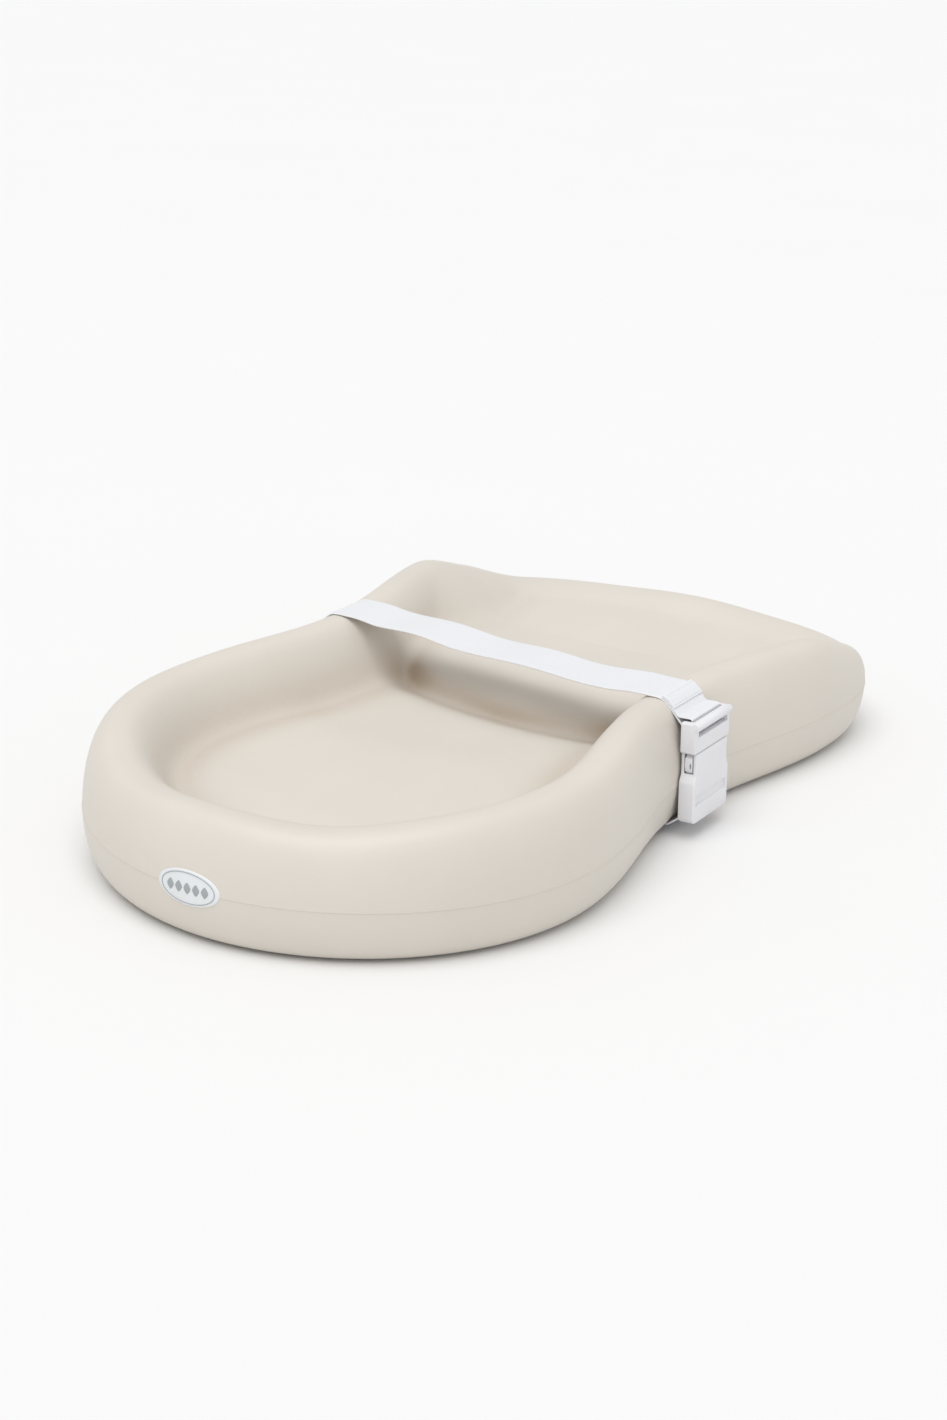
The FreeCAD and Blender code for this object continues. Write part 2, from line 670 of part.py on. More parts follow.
def build_socket():
    body = new_body("buckle_socket")
    half, top = size("buckle_half_width"), size("socket_height")
    waist, corner, shoulder = half - 3.0, 4.0, size("notch_bottom") - 1.0
    right = [(half - corner, 0), (half, corner), (half, shoulder - corner), (waist, shoulder),
             (waist, top)]
    outline = new_sketch(body, "outline", XZ)
    polygon(outline, right + [(-x, z) for x, z in reversed(right)])
    shell = pad(body, outline, "Sizes.buckle_thickness")
    long_edges = edges_where(shell, lambda box: box.YLength < 0.01 and box.ZLength > 3)
    dress(body, "Fillet", shell, long_edges, "1.5", "round")

    # Cavity for the plug's prongs, with a notch in each side and a pocket behind each barb
    cavity = new_sketch(body, "cavity", XY, "Sizes.socket_height")
    rectangle(cavity, "-Sizes.opening_half_width", "-Sizes.cavity_front",
              "Sizes.opening_half_width", "-Sizes.cavity_back")
    pocket(body, cavity, "Sizes.cavity_depth")
    notch = new_sketch(body, "notch", YZ)
    rectangle(notch, "-Sizes.notch_front", "Sizes.notch_bottom", "-Sizes.notch_back",
              "Sizes.socket_height + 1")
    pocket(body, notch, "3 * Sizes.buckle_half_width", symmetric=True)
    catch = new_sketch(body, "catch", YZ)
    rectangle(catch, "-Sizes.notch_front", "Sizes.catch_bottom", "-Sizes.notch_back",
              "Sizes.catch_top")
    pocket(body, catch, "2 * Sizes.catch_half_width", symmetric=True)

    # Opening and bar at the bottom for the fixed webbing, and a shallow band across the front
    cut_window(body, "loop_room", "-1", "Sizes.loop_room_top", "0", "Sizes.loop_room_depth")
    cut_window(body, "front_band", "Sizes.band_bottom", "Sizes.band_top",
               "Sizes.buckle_thickness - Sizes.band_depth", "Sizes.buckle_thickness")
    cross_bar(body, "Sizes.socket_bar_height")
    place_in_buckle(body)


def build_plug():
    body = new_body("buckle_plug")
    frame = new_sketch(body, "frame", XZ)
    rectangle(frame, "-Sizes.buckle_half_width", "Sizes.plug_bottom",
              "Sizes.buckle_half_width", "Sizes.plug_top")
    shell = pad(body, frame, "Sizes.buckle_thickness")
    long_edges = edges_where(shell, lambda box: box.XLength + box.YLength < 0.01)
    dress(body, "Fillet", shell, long_edges, "2", "round")
    lip = new_sketch(body, "lip", YZ)
    circle(lip, "-Sizes.lip_depth", "Sizes.plug_top - Sizes.lip_radius", "Sizes.lip_radius")
    pad(body, lip, "2 * Sizes.buckle_half_width", symmetric=True)

    # Room for the folded webbing, the slot in the front face and the bar inside
    cut_window(body, "fold_room", "Sizes.fold_room_bottom", "Sizes.plug_top + 1", "0",
               "Sizes.fold_room_depth")
    cut_window(body, "front_slot", "Sizes.plug_slot_bottom", "Sizes.plug_slot_top",
               "Sizes.fold_room_depth - 0.2", "Sizes.buckle_thickness")
    cross_bar(body, "Sizes.plug_bar_height")

    # Centre guide that steers the plug into the socket
    guide = new_sketch(body, "guide", XZ, "Sizes.prong_back")
    rectangle(guide, "-Sizes.guide_half_width", "Sizes.guide_bottom",
              "Sizes.guide_half_width", "Sizes.plug_bottom + 1")
    pad(body, guide, "Sizes.prong_depth")

    # Pockets in the frame's lower edge for the roots of the two prongs
    gap = size("prong_clearance")
    left, right, top = PRONG[0][0] - 2 * gap, PRONG[1][0] + 3 * gap, PRONG[0][1] + gap
    bottom = size("plug_bottom") - 1
    for name, sign in (("left", -1), ("right", 1)):
        root = new_sketch(body, f"{name}_root", XZ, "Sizes.prong_back - Sizes.prong_clearance")
        corners = ((left, bottom), (right, bottom), (right, top), (left, top))
        polygon(root, [(sign * x, z) for x, z in corners])
        pocket(body, root, "Sizes.prong_depth + 2 * Sizes.prong_clearance", reverse=True)
    place_in_buckle(body)


def build_prong(label, sign):
    """Springy arm with a finger pad in the socket's side notch and a barb below it."""
    body = new_body(label)
    sketch = new_sketch(body, "outline", XZ, "Sizes.prong_back")
    polygon(sketch, [(sign * x, z) for x, z in PRONG])
    pad(body, sketch, "Sizes.prong_depth")
    place_in_buckle(body)


# ---------------------------------------------------------------- assembly

screws, inserts = [], []
build_foam()
build_webbing()
for anchor_label, anchor_sign in (("near", "-"), ("far", "")):
    build_anchor(anchor_label, anchor_sign)
build_screws()
group("retainer_screws", screws)
group("threaded_inserts", inserts)
for foot_index, (foot_x, foot_y) in enumerate(FEET):
    place = ("head", "middle", "seat")[foot_index]
    build_foot(f"foot_{place}_near", foot_x, -foot_y)
    build_foot(f"foot_{place}_far", foot_x, foot_y)
build_badge()
build_socket()
build_plug()
build_prong("prong_left", -1)
build_prong("prong_right", 1)
doc.recompute()

for item in doc.Objects:
    if "Invalid" in item.State or "Error" in item.State:
        raise RuntimeError(f"{item.Name} did not recompute: {item.State}")
os.makedirs("parts", exist_ok=True)
for sub_part in sub_parts:
    shape = sub_part.Shape
    if shape.isNull() or not shape.isValid() or not shape.Solids:
        raise RuntimeError(f"{sub_part.Label} has no valid solid")
    shape.exportStep(f"parts/{sub_part.Label}.step")
    box = shape.BoundBox
    print(f"{sub_part.Label:22s} solids {len(shape.Solids)}  volume {shape.Volume / 1000:10.2f} cm3  "
          f"x {box.XMin:8.1f} {box.XMax:8.1f}  y {box.YMin:8.1f} {box.YMax:8.1f}  "
          f"z {box.ZMin:6.1f} {box.ZMax:6.1f}")
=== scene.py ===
import json
import math

import bmesh
import bpy
import numpy as np
from mathutils import Matrix, Vector


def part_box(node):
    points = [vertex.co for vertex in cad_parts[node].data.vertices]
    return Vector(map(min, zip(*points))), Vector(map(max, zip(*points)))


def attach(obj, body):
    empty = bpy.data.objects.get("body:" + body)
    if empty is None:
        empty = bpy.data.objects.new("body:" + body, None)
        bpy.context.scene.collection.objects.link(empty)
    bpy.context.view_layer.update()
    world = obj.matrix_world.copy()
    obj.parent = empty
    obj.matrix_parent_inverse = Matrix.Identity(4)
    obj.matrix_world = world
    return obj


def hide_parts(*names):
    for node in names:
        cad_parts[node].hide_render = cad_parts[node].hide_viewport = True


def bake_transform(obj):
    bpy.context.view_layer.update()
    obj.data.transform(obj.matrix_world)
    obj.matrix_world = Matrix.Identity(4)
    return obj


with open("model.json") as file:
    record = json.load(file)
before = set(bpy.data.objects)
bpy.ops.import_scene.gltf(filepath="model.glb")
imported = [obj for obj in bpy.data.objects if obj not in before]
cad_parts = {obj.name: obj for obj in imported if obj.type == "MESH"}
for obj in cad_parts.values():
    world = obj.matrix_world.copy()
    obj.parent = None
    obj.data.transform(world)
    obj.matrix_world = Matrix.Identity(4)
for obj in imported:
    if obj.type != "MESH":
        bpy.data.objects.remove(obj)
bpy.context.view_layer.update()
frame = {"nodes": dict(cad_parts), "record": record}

MM = 0.001

# ---------------------------------------------------------------- places, from the frame

FOAM_LOW, FOAM_HIGH = (Vector(corner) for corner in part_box("foam_body"))
STRAP_LOW, STRAP_HIGH = (Vector(corner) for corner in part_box("strap_far"))
SOCKET_HIGH = Vector(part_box("buckle_socket")[1])
HALF_LENGTH = FOAM_HIGH.x
FOAM_BOTTOM = FOAM_LOW.z
STRAP_X = (STRAP_LOW.x + STRAP_HIGH.x) / 2
WEBBING_WIDTH = STRAP_HIGH.x - STRAP_LOW.x
WEBBING = 1.5 * MM
CHANNEL_ROOF = FOAM_BOTTOM + 8 * MM

JOINTS = frame["record"]["behaviour"]["joints"]
SLIDE = next(joint for joint in JOINTS if joint["name"] == "plug_slide")
LEAN = math.atan2(SLIDE["axis"][1], SLIDE["axis"][2])
BUCKLE_THICKNESS = 14 * MM
SOCKET_HEIGHT = 58 * MM
PLUG_TOP = 84 * MM
HALF_BUCKLE = 31 * MM
BUCKLE_Y = SOCKET_HIGH.y - SOCKET_HEIGHT * math.sin(LEAN)
BUCKLE_Z = SOCKET_HIGH.z - SOCKET_HEIGHT * math.cos(LEAN) - BUCKLE_THICKNESS * math.sin(LEAN)


# ---------------------------------------------------------------- helpers: meshes

def smooth_step(value):
    value = np.clip(value, 0, 1)
    return value * value * (3 - 2 * value)


def directions(path):
    """Unit direction of a path at each of its points."""
    ahead = np.gradient(path, axis=0)
    return ahead / np.linalg.norm(ahead, axis=1)[:, None]


def link_object(name, mesh):
    """Object in the scene that shows a mesh."""
    made = bpy.data.objects.new(name, mesh)
    bpy.context.scene.collection.objects.link(made)
    return made


def face_outward(mesh):
    """Turn every face of a closed mesh outward."""
    shape = bmesh.new()
    shape.from_mesh(mesh)
    bmesh.ops.recalc_face_normals(shape, faces=shape.faces)
    shape.to_mesh(mesh)
    shape.free()


def make_object(name, points, faces, material, uvs=None):
    """Smooth-shaded mesh object from points in metres; uvs, one per point, go in a UV map."""
    mesh = bpy.data.meshes.new(name)
    mesh.from_pydata([tuple(point) for point in points], [], faces)
    mesh.validate()
    mesh.polygons.foreach_set("use_smooth", [True] * len(mesh.polygons))
    if uvs is not None:
        layer = mesh.uv_layers.new(name="weave")
        corners = np.empty(len(mesh.loops), dtype=np.int32)
        mesh.loops.foreach_get("vertex_index", corners)
        layer.data.foreach_set("uv", np.asarray(uvs, dtype=np.float32)[corners].ravel())
    mesh.materials.append(material)
    return link_object(name, mesh)


def grid_faces(rows, columns, closed_rows=False, closed_columns=False):
    """Quads of a grid whose points are numbered row by row."""
    faces = []
    for row in range(rows if closed_rows else rows - 1):
        following = (row + 1) % rows
        for column in range(columns if closed_columns else columns - 1):
            beside = (column + 1) % columns
            faces.append((row * columns + column, row * columns + beside,
                          following * columns + beside, following * columns + column))
    return faces


def apply_modifiers(made):
    """Replace the object's mesh with what its modifiers give."""
    depsgraph = bpy.context.evaluated_depsgraph_get()
    result = bpy.data.meshes.new_from_object(made.evaluated_get(depsgraph))
    made.modifiers.clear()
    made.data = result
    return made


def cut_with(made, cutters):
    """Subtract box or prism cutters from an object, and delete the cutters."""
    for cutter in cutters:
        modifier = made.modifiers.new("cut", "BOOLEAN")
        modifier.operation = "DIFFERENCE"
        modifier.solver = "EXACT"
        modifier.object = cutter
        apply_modifiers(made)
        bpy.data.objects.remove(cutter)
    return made


def join_with(made, others):
    """Unite other solids with an object, and delete them."""
    for other in others:
        modifier = made.modifiers.new("unite", "BOOLEAN")
        modifier.operation = "UNION"
        modifier.solver = "EXACT"
        modifier.object = other
        apply_modifiers(made)
        bpy.data.objects.remove(other)
    return made


def box_solid(low, high):
    """Temporary box between two corners."""
    (x0, y0, z0), (x1, y1, z1) = low, high
    points = [(x, y, z) for z in (z0, z1) for y in (y0, y1) for x in (x0, x1)]
    faces = [(0, 2, 3, 1), (4, 5, 7, 6), (0, 1, 5, 4), (2, 6, 7, 3), (0, 4, 6, 2), (1, 3, 7, 5)]
    mesh = bpy.data.meshes.new("tool")
    mesh.from_pydata(points, [], faces)
    return link_object("tool", mesh)


def prism(name, outline, near, far, axis="Y"):
    """Solid between two planes across an axis, with an (a, b) outline in the other two axes."""
    count = len(outline)
    if axis == "Y":
        points = [(a, level, b) for level in (near, far) for a, b in outline]
    else:
        points = [(level, a, b) for level in (near, far) for a, b in outline]
    faces = [tuple(range(count)), tuple(range(2 * count - 1, count - 1, -1))]
    for index in range(count):
        beside = (index + 1) % count
        faces.append((index, index + count, beside + count, beside))
    mesh = bpy.data.meshes.new(name)
    mesh.from_pydata(points, [], faces)
    face_outward(mesh)
    return link_object(name, mesh)


def soften(made, radius, angle=35, segments=3):
    """Round every edge sharper than the angle, and shade the result smooth."""
    bevel = made.modifiers.new("round", "BEVEL")
    bevel.width = radius
    bevel.segments = segments
    bevel.limit_method = "ANGLE"
    bevel.angle_limit = math.radians(angle)
    bevel.use_clamp_overlap = True
    bevel.harden_normals = False
    apply_modifiers(made)
    made.data.polygons.foreach_set("use_smooth", [True] * len(made.data.polygons))
    made.data.set_sharp_from_angle(angle=math.radians(50))
    return made


# ---------------------------------------------------------------- helpers: materials

class Shader:
    """One procedural material: a Principled shader and the nodes that feed it."""

    def __init__(self, name, color, roughness, **fixed):
        self.material = bpy.data.materials.new(name)
        self.material.use_nodes = True
        self.tree = self.material.node_tree
        self.surface = self.tree.nodes["Principled BSDF"]
        self.surface.inputs["Base Color"].default_value = (*color, 1)
        self.surface.inputs["Roughness"].default_value = roughness
        for socket, value in fixed.items():
            self.surface.inputs[socket.replace("_", " ")].default_value = value
        self.color, self.roughness = color, roughness
        self.place = self.node("ShaderNodeTexCoord").outputs["Object"]

    def node(self, kind, **settings):
        made = self.tree.nodes.new(kind)
        for name, value in settings.items():
            setattr(made, name, value)
        return made

    def link(self, source, target):
        self.tree.links.new(source, target)
        return source

    def stretched(self, scale, place=None):
        """Coordinates scaled along each axis."""
        mapping = self.node("ShaderNodeMapping")
        mapping.inputs["Scale"].default_value = scale
        self.link(place or self.place, mapping.inputs["Vector"])
        return mapping.outputs["Vector"]

    def noise(self, scale, detail=3.0, roughness=0.5, place=None):
        made = self.node("ShaderNodeTexNoise")
        made.inputs["Scale"].default_value = scale
        made.inputs["Detail"].default_value = detail
        made.inputs["Roughness"].default_value = roughness
        self.link(place or self.place, made.inputs["Vector"])
        return made.outputs["Fac"]

    def ramp(self, source, low, high, low_value, high_value):
        """Map a value from one range to another."""
        made = self.node("ShaderNodeMapRange")
        for name, value in (("From Min", low), ("From Max", high), ("To Min", low_value),
                            ("To Max", high_value)):
            made.inputs[name].default_value = value
        self.link(source, made.inputs["Value"])
        return made.outputs["Result"]

    def math(self, operation, *sources):
        made = self.node("ShaderNodeMath", operation=operation)
        for socket, source in zip(made.inputs, sources):
            if isinstance(source, (int, float)):
                socket.default_value = source
            else:
                self.link(source, socket)
        return made.outputs["Value"]

    def mix(self, factor, first, second):
        """Colour between two colours or colour sockets."""
        made = self.node("ShaderNodeMix", data_type="RGBA")
        self.link(factor, made.inputs["Factor"])
        for socket, source in ((made.inputs[6], first), (made.inputs[7], second)):
            if isinstance(source, tuple):
                socket.default_value = (*source, 1)
            else:
                self.link(source, socket)
        return made.outputs[2]

    def bump(self, height, distance, strength=1.0, previous=None):
        made = self.node("ShaderNodeBump")
        made.inputs["Distance"].default_value = distance
        made.inputs["Strength"].default_value = strength
        self.link(height, made.inputs["Height"])
        if previous is not None:
            self.link(previous, made.inputs["Normal"])
        return made.outputs["Normal"]

    def finish(self, color=None, roughness=None, normal=None):
        for name, source in (("Base Color", color), ("Roughness", roughness), ("Normal", normal)):
            if source is not None:
                self.link(source, self.surface.inputs[name])
        return self.material


def shade(color, factor):
    """A colour made lighter or darker."""
    return tuple(min(1.0, channel * factor) for channel in color)


def foam_material():
    """Satin polyurethane skin: faint cloudiness, fine pores, a slight orange-peel texture and painted
    shade in its creases.
    """
    base = (0.700, 0.655, 0.590)
    skin = Shader("foam_skin", base, 0.44, Specular_IOR_Level=0.38)
    clouds = skin.noise(9.0, 4.0, 0.55)
    flecks = skin.noise(420.0, 2.0, 0.5)
    tone = skin.mix(skin.ramp(clouds, 0.3, 0.7, 0.0, 1.0), shade(base, 0.975), shade(base, 1.02))
    tone = skin.mix(skin.ramp(flecks, 0.62, 0.8, 0.0, 0.35), tone, shade(base, 0.93))
    # Painted shade: a warmer, darker colour the more a place is enclosed by the pad's own creases and
    # hollows, standing in for the shade there
    painted_fold_shade = skin.node("ShaderNodeAmbientOcclusion")
    painted_fold_shade.only_local, painted_fold_shade.samples = True, 8
    painted_fold_shade.inputs["Distance"].default_value = 45 * MM
    tone = skin.mix(skin.ramp(painted_fold_shade.outputs["AO"], 0.55, 0.96, 1.0, 0.0), tone, (0.36, 0.24, 0.13))
    rough = skin.math("ADD", skin.ramp(clouds, 0.3, 0.7, 0.40, 0.47),
                      skin.ramp(flecks, 0.3, 0.7, -0.03, 0.03))
    peel = skin.bump(skin.noise(260.0, 3.0, 0.55), 0.00010, 0.5)
    pores = skin.bump(skin.noise(1500.0, 2.0, 0.6), 0.00004, 0.5, peel)
    return skin.finish(tone, rough, pores)


def webbing_material():
    """White woven webbing: weft ribs across, staggered warp yarns along, slight fuzz."""
    base = (0.90, 0.91, 0.94)
    cloth = Shader("webbing_weave", base, 0.62, Sheen_Weight=0.25, Sheen_Roughness=0.5)
    cloth.place = cloth.node("ShaderNodeUVMap", uv_map="weave").outputs["UV"]
    split = cloth.node("ShaderNodeSeparateXYZ")
    cloth.link(cloth.place, split.inputs[0])
    across, along = split.outputs[0], split.outputs[1]
    warp_pitch, weft_pitch = 1.7 * MM, 1.25 * MM
    column = cloth.math("FLOOR", cloth.math("DIVIDE", across, warp_pitch))
    lean = cloth.math("MULTIPLY", cloth.math("PINGPONG", column, 4.0), 0.25)
    ribs = cloth.math("SINE", cloth.math("MULTIPLY", cloth.math(
        "ADD", cloth.math("DIVIDE", along, weft_pitch), lean), 2 * math.pi))
    yarns = cloth.math("SINE", cloth.math("MULTIPLY", across, 2 * math.pi / warp_pitch))
    height = cloth.math("ADD", cloth.math("MULTIPLY", ribs, 0.5),
                        cloth.math("MULTIPLY", cloth.math("ABSOLUTE", yarns), 0.5))
    fuzz = cloth.noise(2600.0, 3.0, 0.6)
    # Painted shade: the weave's low places are darker and its raised ribs and yarns lighter, following the
    # same height as the bump
    tone = cloth.mix(cloth.ramp(height, -0.4, 0.9, 0.0, 1.0), shade(base, 0.86), shade(base, 1.03))
    tone = cloth.mix(cloth.ramp(fuzz, 0.35, 0.7, 0.0, 0.35), tone, shade(base, 0.93))
    weave = cloth.bump(height, 0.00022, 0.8)
    hairs = cloth.bump(fuzz, 0.00006, 0.6, weave)
    return cloth.finish(tone, cloth.ramp(fuzz, 0.3, 0.7, 0.56, 0.72), hairs)


def moulded_material(name, base, rough, peel=0.3):
    """Injection-moulded plastic: even colour, faint flow marks and a very fine texture."""
    plastic = Shader(name, base, rough)
    flow = plastic.noise(24.0, 3.0, 0.6, plastic.stretched((1.0, 1.0, 0.35)))
    grain = plastic.noise(1400.0, 2.0, 0.5)
    tone = plastic.mix(plastic.ramp(flow, 0.3, 0.7, 0.0, 1.0), shade(base, 0.97), shade(base, 1.02))
    roughness = plastic.math("ADD", plastic.ramp(flow, 0.3, 0.7, rough - 0.04, rough + 0.05),
                             plastic.ramp(grain, 0.3, 0.7, -0.02, 0.03))
    return plastic.finish(tone, roughness, plastic.bump(grain, 0.00003, peel))


def rubber_material():
    base = (0.075, 0.075, 0.078)
    rubber = Shader("foot_rubber_skin", base, 0.72)
    dust = rubber.noise(60.0, 5.0, 0.6)
    grain = rubber.noise(900.0, 2.0, 0.6)
    tone = rubber.mix(rubber.ramp(dust, 0.45, 0.75, 0.0, 0.5), base, shade(base, 2.0))
    return rubber.finish(tone, rubber.ramp(dust, 0.3, 0.7, 0.64, 0.82),
                         rubber.bump(grain, 0.00006, 0.6))


def metal_material(name, base, rough):
    """Turned or plated metal with fine scratches."""
    metal = Shader(name, base, rough, Metallic=1.0)
    scratches = metal.noise(700.0, 2.0, 0.5, metal.stretched((1.0, 8.0, 1.0)))
    stain = metal.noise(110.0, 4.0, 0.6)
    tone = metal.mix(metal.ramp(stain, 0.35, 0.75, 0.0, 1.0), base, shade(base, 0.82))
    return metal.finish(tone, metal.ramp(scratches, 0.3, 0.7, rough - 0.06, rough + 0.12),
                        metal.bump(scratches, 0.00002, 0.5))


def plywood_material():
    """Birch plywood: long grain with darker pores, and ply layers on the edges."""
    base = (0.55, 0.38, 0.20)
    ply = Shader("board_plywood", base, 0.6)
    grain = ply.noise(90.0, 5.0, 0.6, ply.stretched((0.12, 1.0, 1.0)))
    layers = ply.node("ShaderNodeTexWave", wave_type="BANDS", bands_direction="Z")
    layers.inputs["Scale"].default_value = 120.0
    ply.link(ply.place, layers.inputs["Vector"])
    tone = ply.mix(ply.ramp(grain, 0.3, 0.7, 0.0, 1.0), shade(base, 0.75), shade(base, 1.15))
    tone = ply.mix(ply.ramp(layers.outputs["Fac"], 0.2, 0.8, 0.0, 0.3), tone, shade(base, 0.6))
    return ply.finish(tone, ply.ramp(grain, 0.3, 0.7, 0.52, 0.7), ply.bump(grain, 0.00008, 0.5))


def floor_material():
    base = (0.86, 0.86, 0.86)
    paper = Shader("studio_floor", base, 0.9)
    tone = paper.mix(paper.ramp(paper.noise(3.0, 3.0), 0.3, 0.7, 0.0, 1.0), shade(base, 0.995), base)
    return paper.finish(tone)


# ---------------------------------------------------------------- foam moulding

HEAD_X, HEAD_HALF_WIDTH, HEAD_SQUARENESS = -190.7 * MM, 212.0 * MM, 1.97
WAIST_X, WAIST_HALF_WIDTH = 11.4 * MM, 182.7 * MM
SEAT_X, SEAT_HALF_WIDTH, SEAT_SQUARENESS = 247.5 * MM, 216.2 * MM, 2.4
# Crest heights at even steps along the rim, from the middle of the head end to that of the seat end
CREST_HEIGHTS = [99, 96, 102, 106.5, 109, 111.5, 111, 111.5, 109, 87, 65, 63, 66]
PARTING_HEIGHT = 45 * MM
CREST_INSET = 25 * MM
FOOT_INSET = 22.5 * MM
# Powers that shape the outer wall's roll under the foot and over the crest
FOOT_ROUNDING, CREST_ROUNDING = 0.9, 0.8
RIM_SPACING, FINE_SPACING = 3.6 * MM, 1.7 * MM
# (height above the parting line, how far proud), in millimetres
PARTING_RIDGE = [(-1.2, 0.0), (-0.5, 0.05), (-0.15, 0.35), (0.15, 0.35), (0.5, 0.05)]


def half_width(x):
    """Half the pad's width at X: a round head lobe, a waist and a squarer seat lobe."""
    x = np.asarray(x, dtype=float)
    head = HEAD_HALF_WIDTH * np.clip(
        1 - np.clip((HEAD_X - x) / (HEAD_X + HALF_LENGTH), 0, 1) ** HEAD_SQUARENESS,
        0, 1) ** (1 / HEAD_SQUARENESS)
    seat = SEAT_HALF_WIDTH * np.clip(
        1 - np.clip((x - SEAT_X) / (HALF_LENGTH - SEAT_X), 0, 1) ** SEAT_SQUARENESS,
        0, 1) ** (1 / SEAT_SQUARENESS)
    to_waist = 0.5 - 0.5 * np.cos(np.pi * np.clip((x - HEAD_X) / (WAIST_X - HEAD_X), 0, 1))
    to_seat = 0.5 - 0.5 * np.cos(np.pi * np.clip((x - WAIST_X) / (SEAT_X - WAIST_X), 0, 1))
    before = HEAD_HALF_WIDTH + (WAIST_HALF_WIDTH - HEAD_HALF_WIDTH) * to_waist
    after = WAIST_HALF_WIDTH + (SEAT_HALF_WIDTH - WAIST_HALF_WIDTH) * to_seat
    return np.select([x < HEAD_X, x < WAIST_X, x < SEAT_X], [head, before, after], seat)


def monotone_curve(values, places):
    """Smooth curve through evenly spaced values that never overshoots them."""
    values = np.asarray(values, dtype=float)
    slopes = np.diff(values)
    tangents = np.zeros_like(values)
    for index in range(1, len(values) - 1):
        left, right = slopes[index - 1], slopes[index]
        if left * right > 0:
            tangents[index] = 2 * left * right / (left + right)
    scaled = np.clip(places, 0, 1) * (len(values) - 1)
    cell = np.clip(scaled.astype(int), 0, len(values) - 2)
    part = scaled - cell
    return (values[cell] * (1 + 2 * part) * (1 - part) ** 2
            + tangents[cell] * part * (1 - part) ** 2
            + values[cell + 1] * part ** 2 * (3 - 2 * part)
            + tangents[cell + 1] * part ** 2 * (part - 1))


def rim_line():
    """Points round the outline, anticlockwise from the head end, closer together at the badge
    and beside the step.

    Returns the points, the inward normals and each point's crest height."""
    x = -HALF_LENGTH * np.cos(np.linspace(0, math.pi, 4001))
    line = np.stack([x, -half_width(x)], 1)
    run = np.r_[0, np.cumsum(np.linalg.norm(np.diff(line, axis=0), axis=1))]
    fine = (run < 36 * MM) | (np.abs(x - STEP_X - 22 * MM) < 75 * MM)
    density = 1 / np.where(fine, FINE_SPACING, RIM_SPACING)
    steps = np.r_[0, np.cumsum((density[1:] + density[:-1]) / 2 * np.diff(run))]
    places = np.interp(np.linspace(0, steps[-1], int(steps[-1])), steps, run)
    near = np.stack([np.interp(places, run, line[:, axis]) for axis in (0, 1)], 1)
    whole = np.vstack([line[1:][::-1] * (1, -1), line, line[:-1][::-1] * (1, -1)])
    whole_run = np.r_[run[:-1] - run[-1], run, run[-1] + run[1:]]
    ahead, behind = (
        np.stack([np.interp(places + shift, whole_run, whole[:, axis]) for axis in (0, 1)], 1)
        for shift in (1 * MM, -1 * MM))
    tangent = ahead - behind
    tangent /= np.linalg.norm(tangent, axis=1)[:, None]
    inward = np.stack([-tangent[:, 1], tangent[:, 0]], 1)
    crest = monotone_curve(CREST_HEIGHTS, places / run[-1]) * MM
    mirrored = slice(-2, 0, -1)
    return (np.vstack([near, near[mirrored] * (1, -1)]),
            np.vstack([inward, inward[mirrored] * (1, -1)]),
            np.concatenate([crest, crest[mirrored]]))


# Hollow: a bowl at the head end, a step up under the strap and a seat that falls to the far end
HEAD_FLOOR, HEAD_FLOOR_FALL, SEAT_FLOOR, SEAT_FALL = 63 * MM, 3 * MM, 71 * MM, 18 * MM
HEAD_WALL, SEAT_WALL, SEAT_WALL_SPREAD = 54 * MM, 56 * MM, 42 * MM
STEP_X, STEP_RUN, STEP_FILLET = 16 * MM, 46 * MM, 3 * MM
CREASE_DEPTH, CREASE_BEFORE, CREASE_AFTER = 10 * MM, 26 * MM, 9 * MM
CREASE_FADE, CREASE_FADE_RUN = 24 * MM, 40 * MM
# Where each floor starts to fall and the seat's wall starts to spread, and over what length
HEAD_FALL_X, HEAD_FALL_RUN = -125 * MM, 60 * MM
SEAT_FALL_X, SEAT_FALL_RUN = 80 * MM, 240 * MM
SPREAD_X, SPREAD_RUN = 120 * MM, 120 * MM
# Powers of the walls' crowns and feet, and of the step as it levels out
HEAD_CROWN, HEAD_FOOT, SEAT_CROWN, SEAT_FOOT, STEP_CROWN = 3, 4, 2.2, 5, 2.2
# The step's foot curves about this Y, and leans towards the head as the wall rises above this height
STEP_CENTRE_Y, STEP_CURVATURE = -35 * MM, 1.5
STEP_LEAN, STEP_LEAN_HEIGHT = 1.4, 62 * MM
# How far in from the outline the hollow's rows stay parallel to it, and the ends of its middle line
EDGE_DEPTH, SPINE_START, SPINE_END = 112 * MM, -205 * MM, 215 * MM
HOLLOW_ROWS, SPINE_ROWS, SOFTEN_ROUNDS = 52, 35, 20


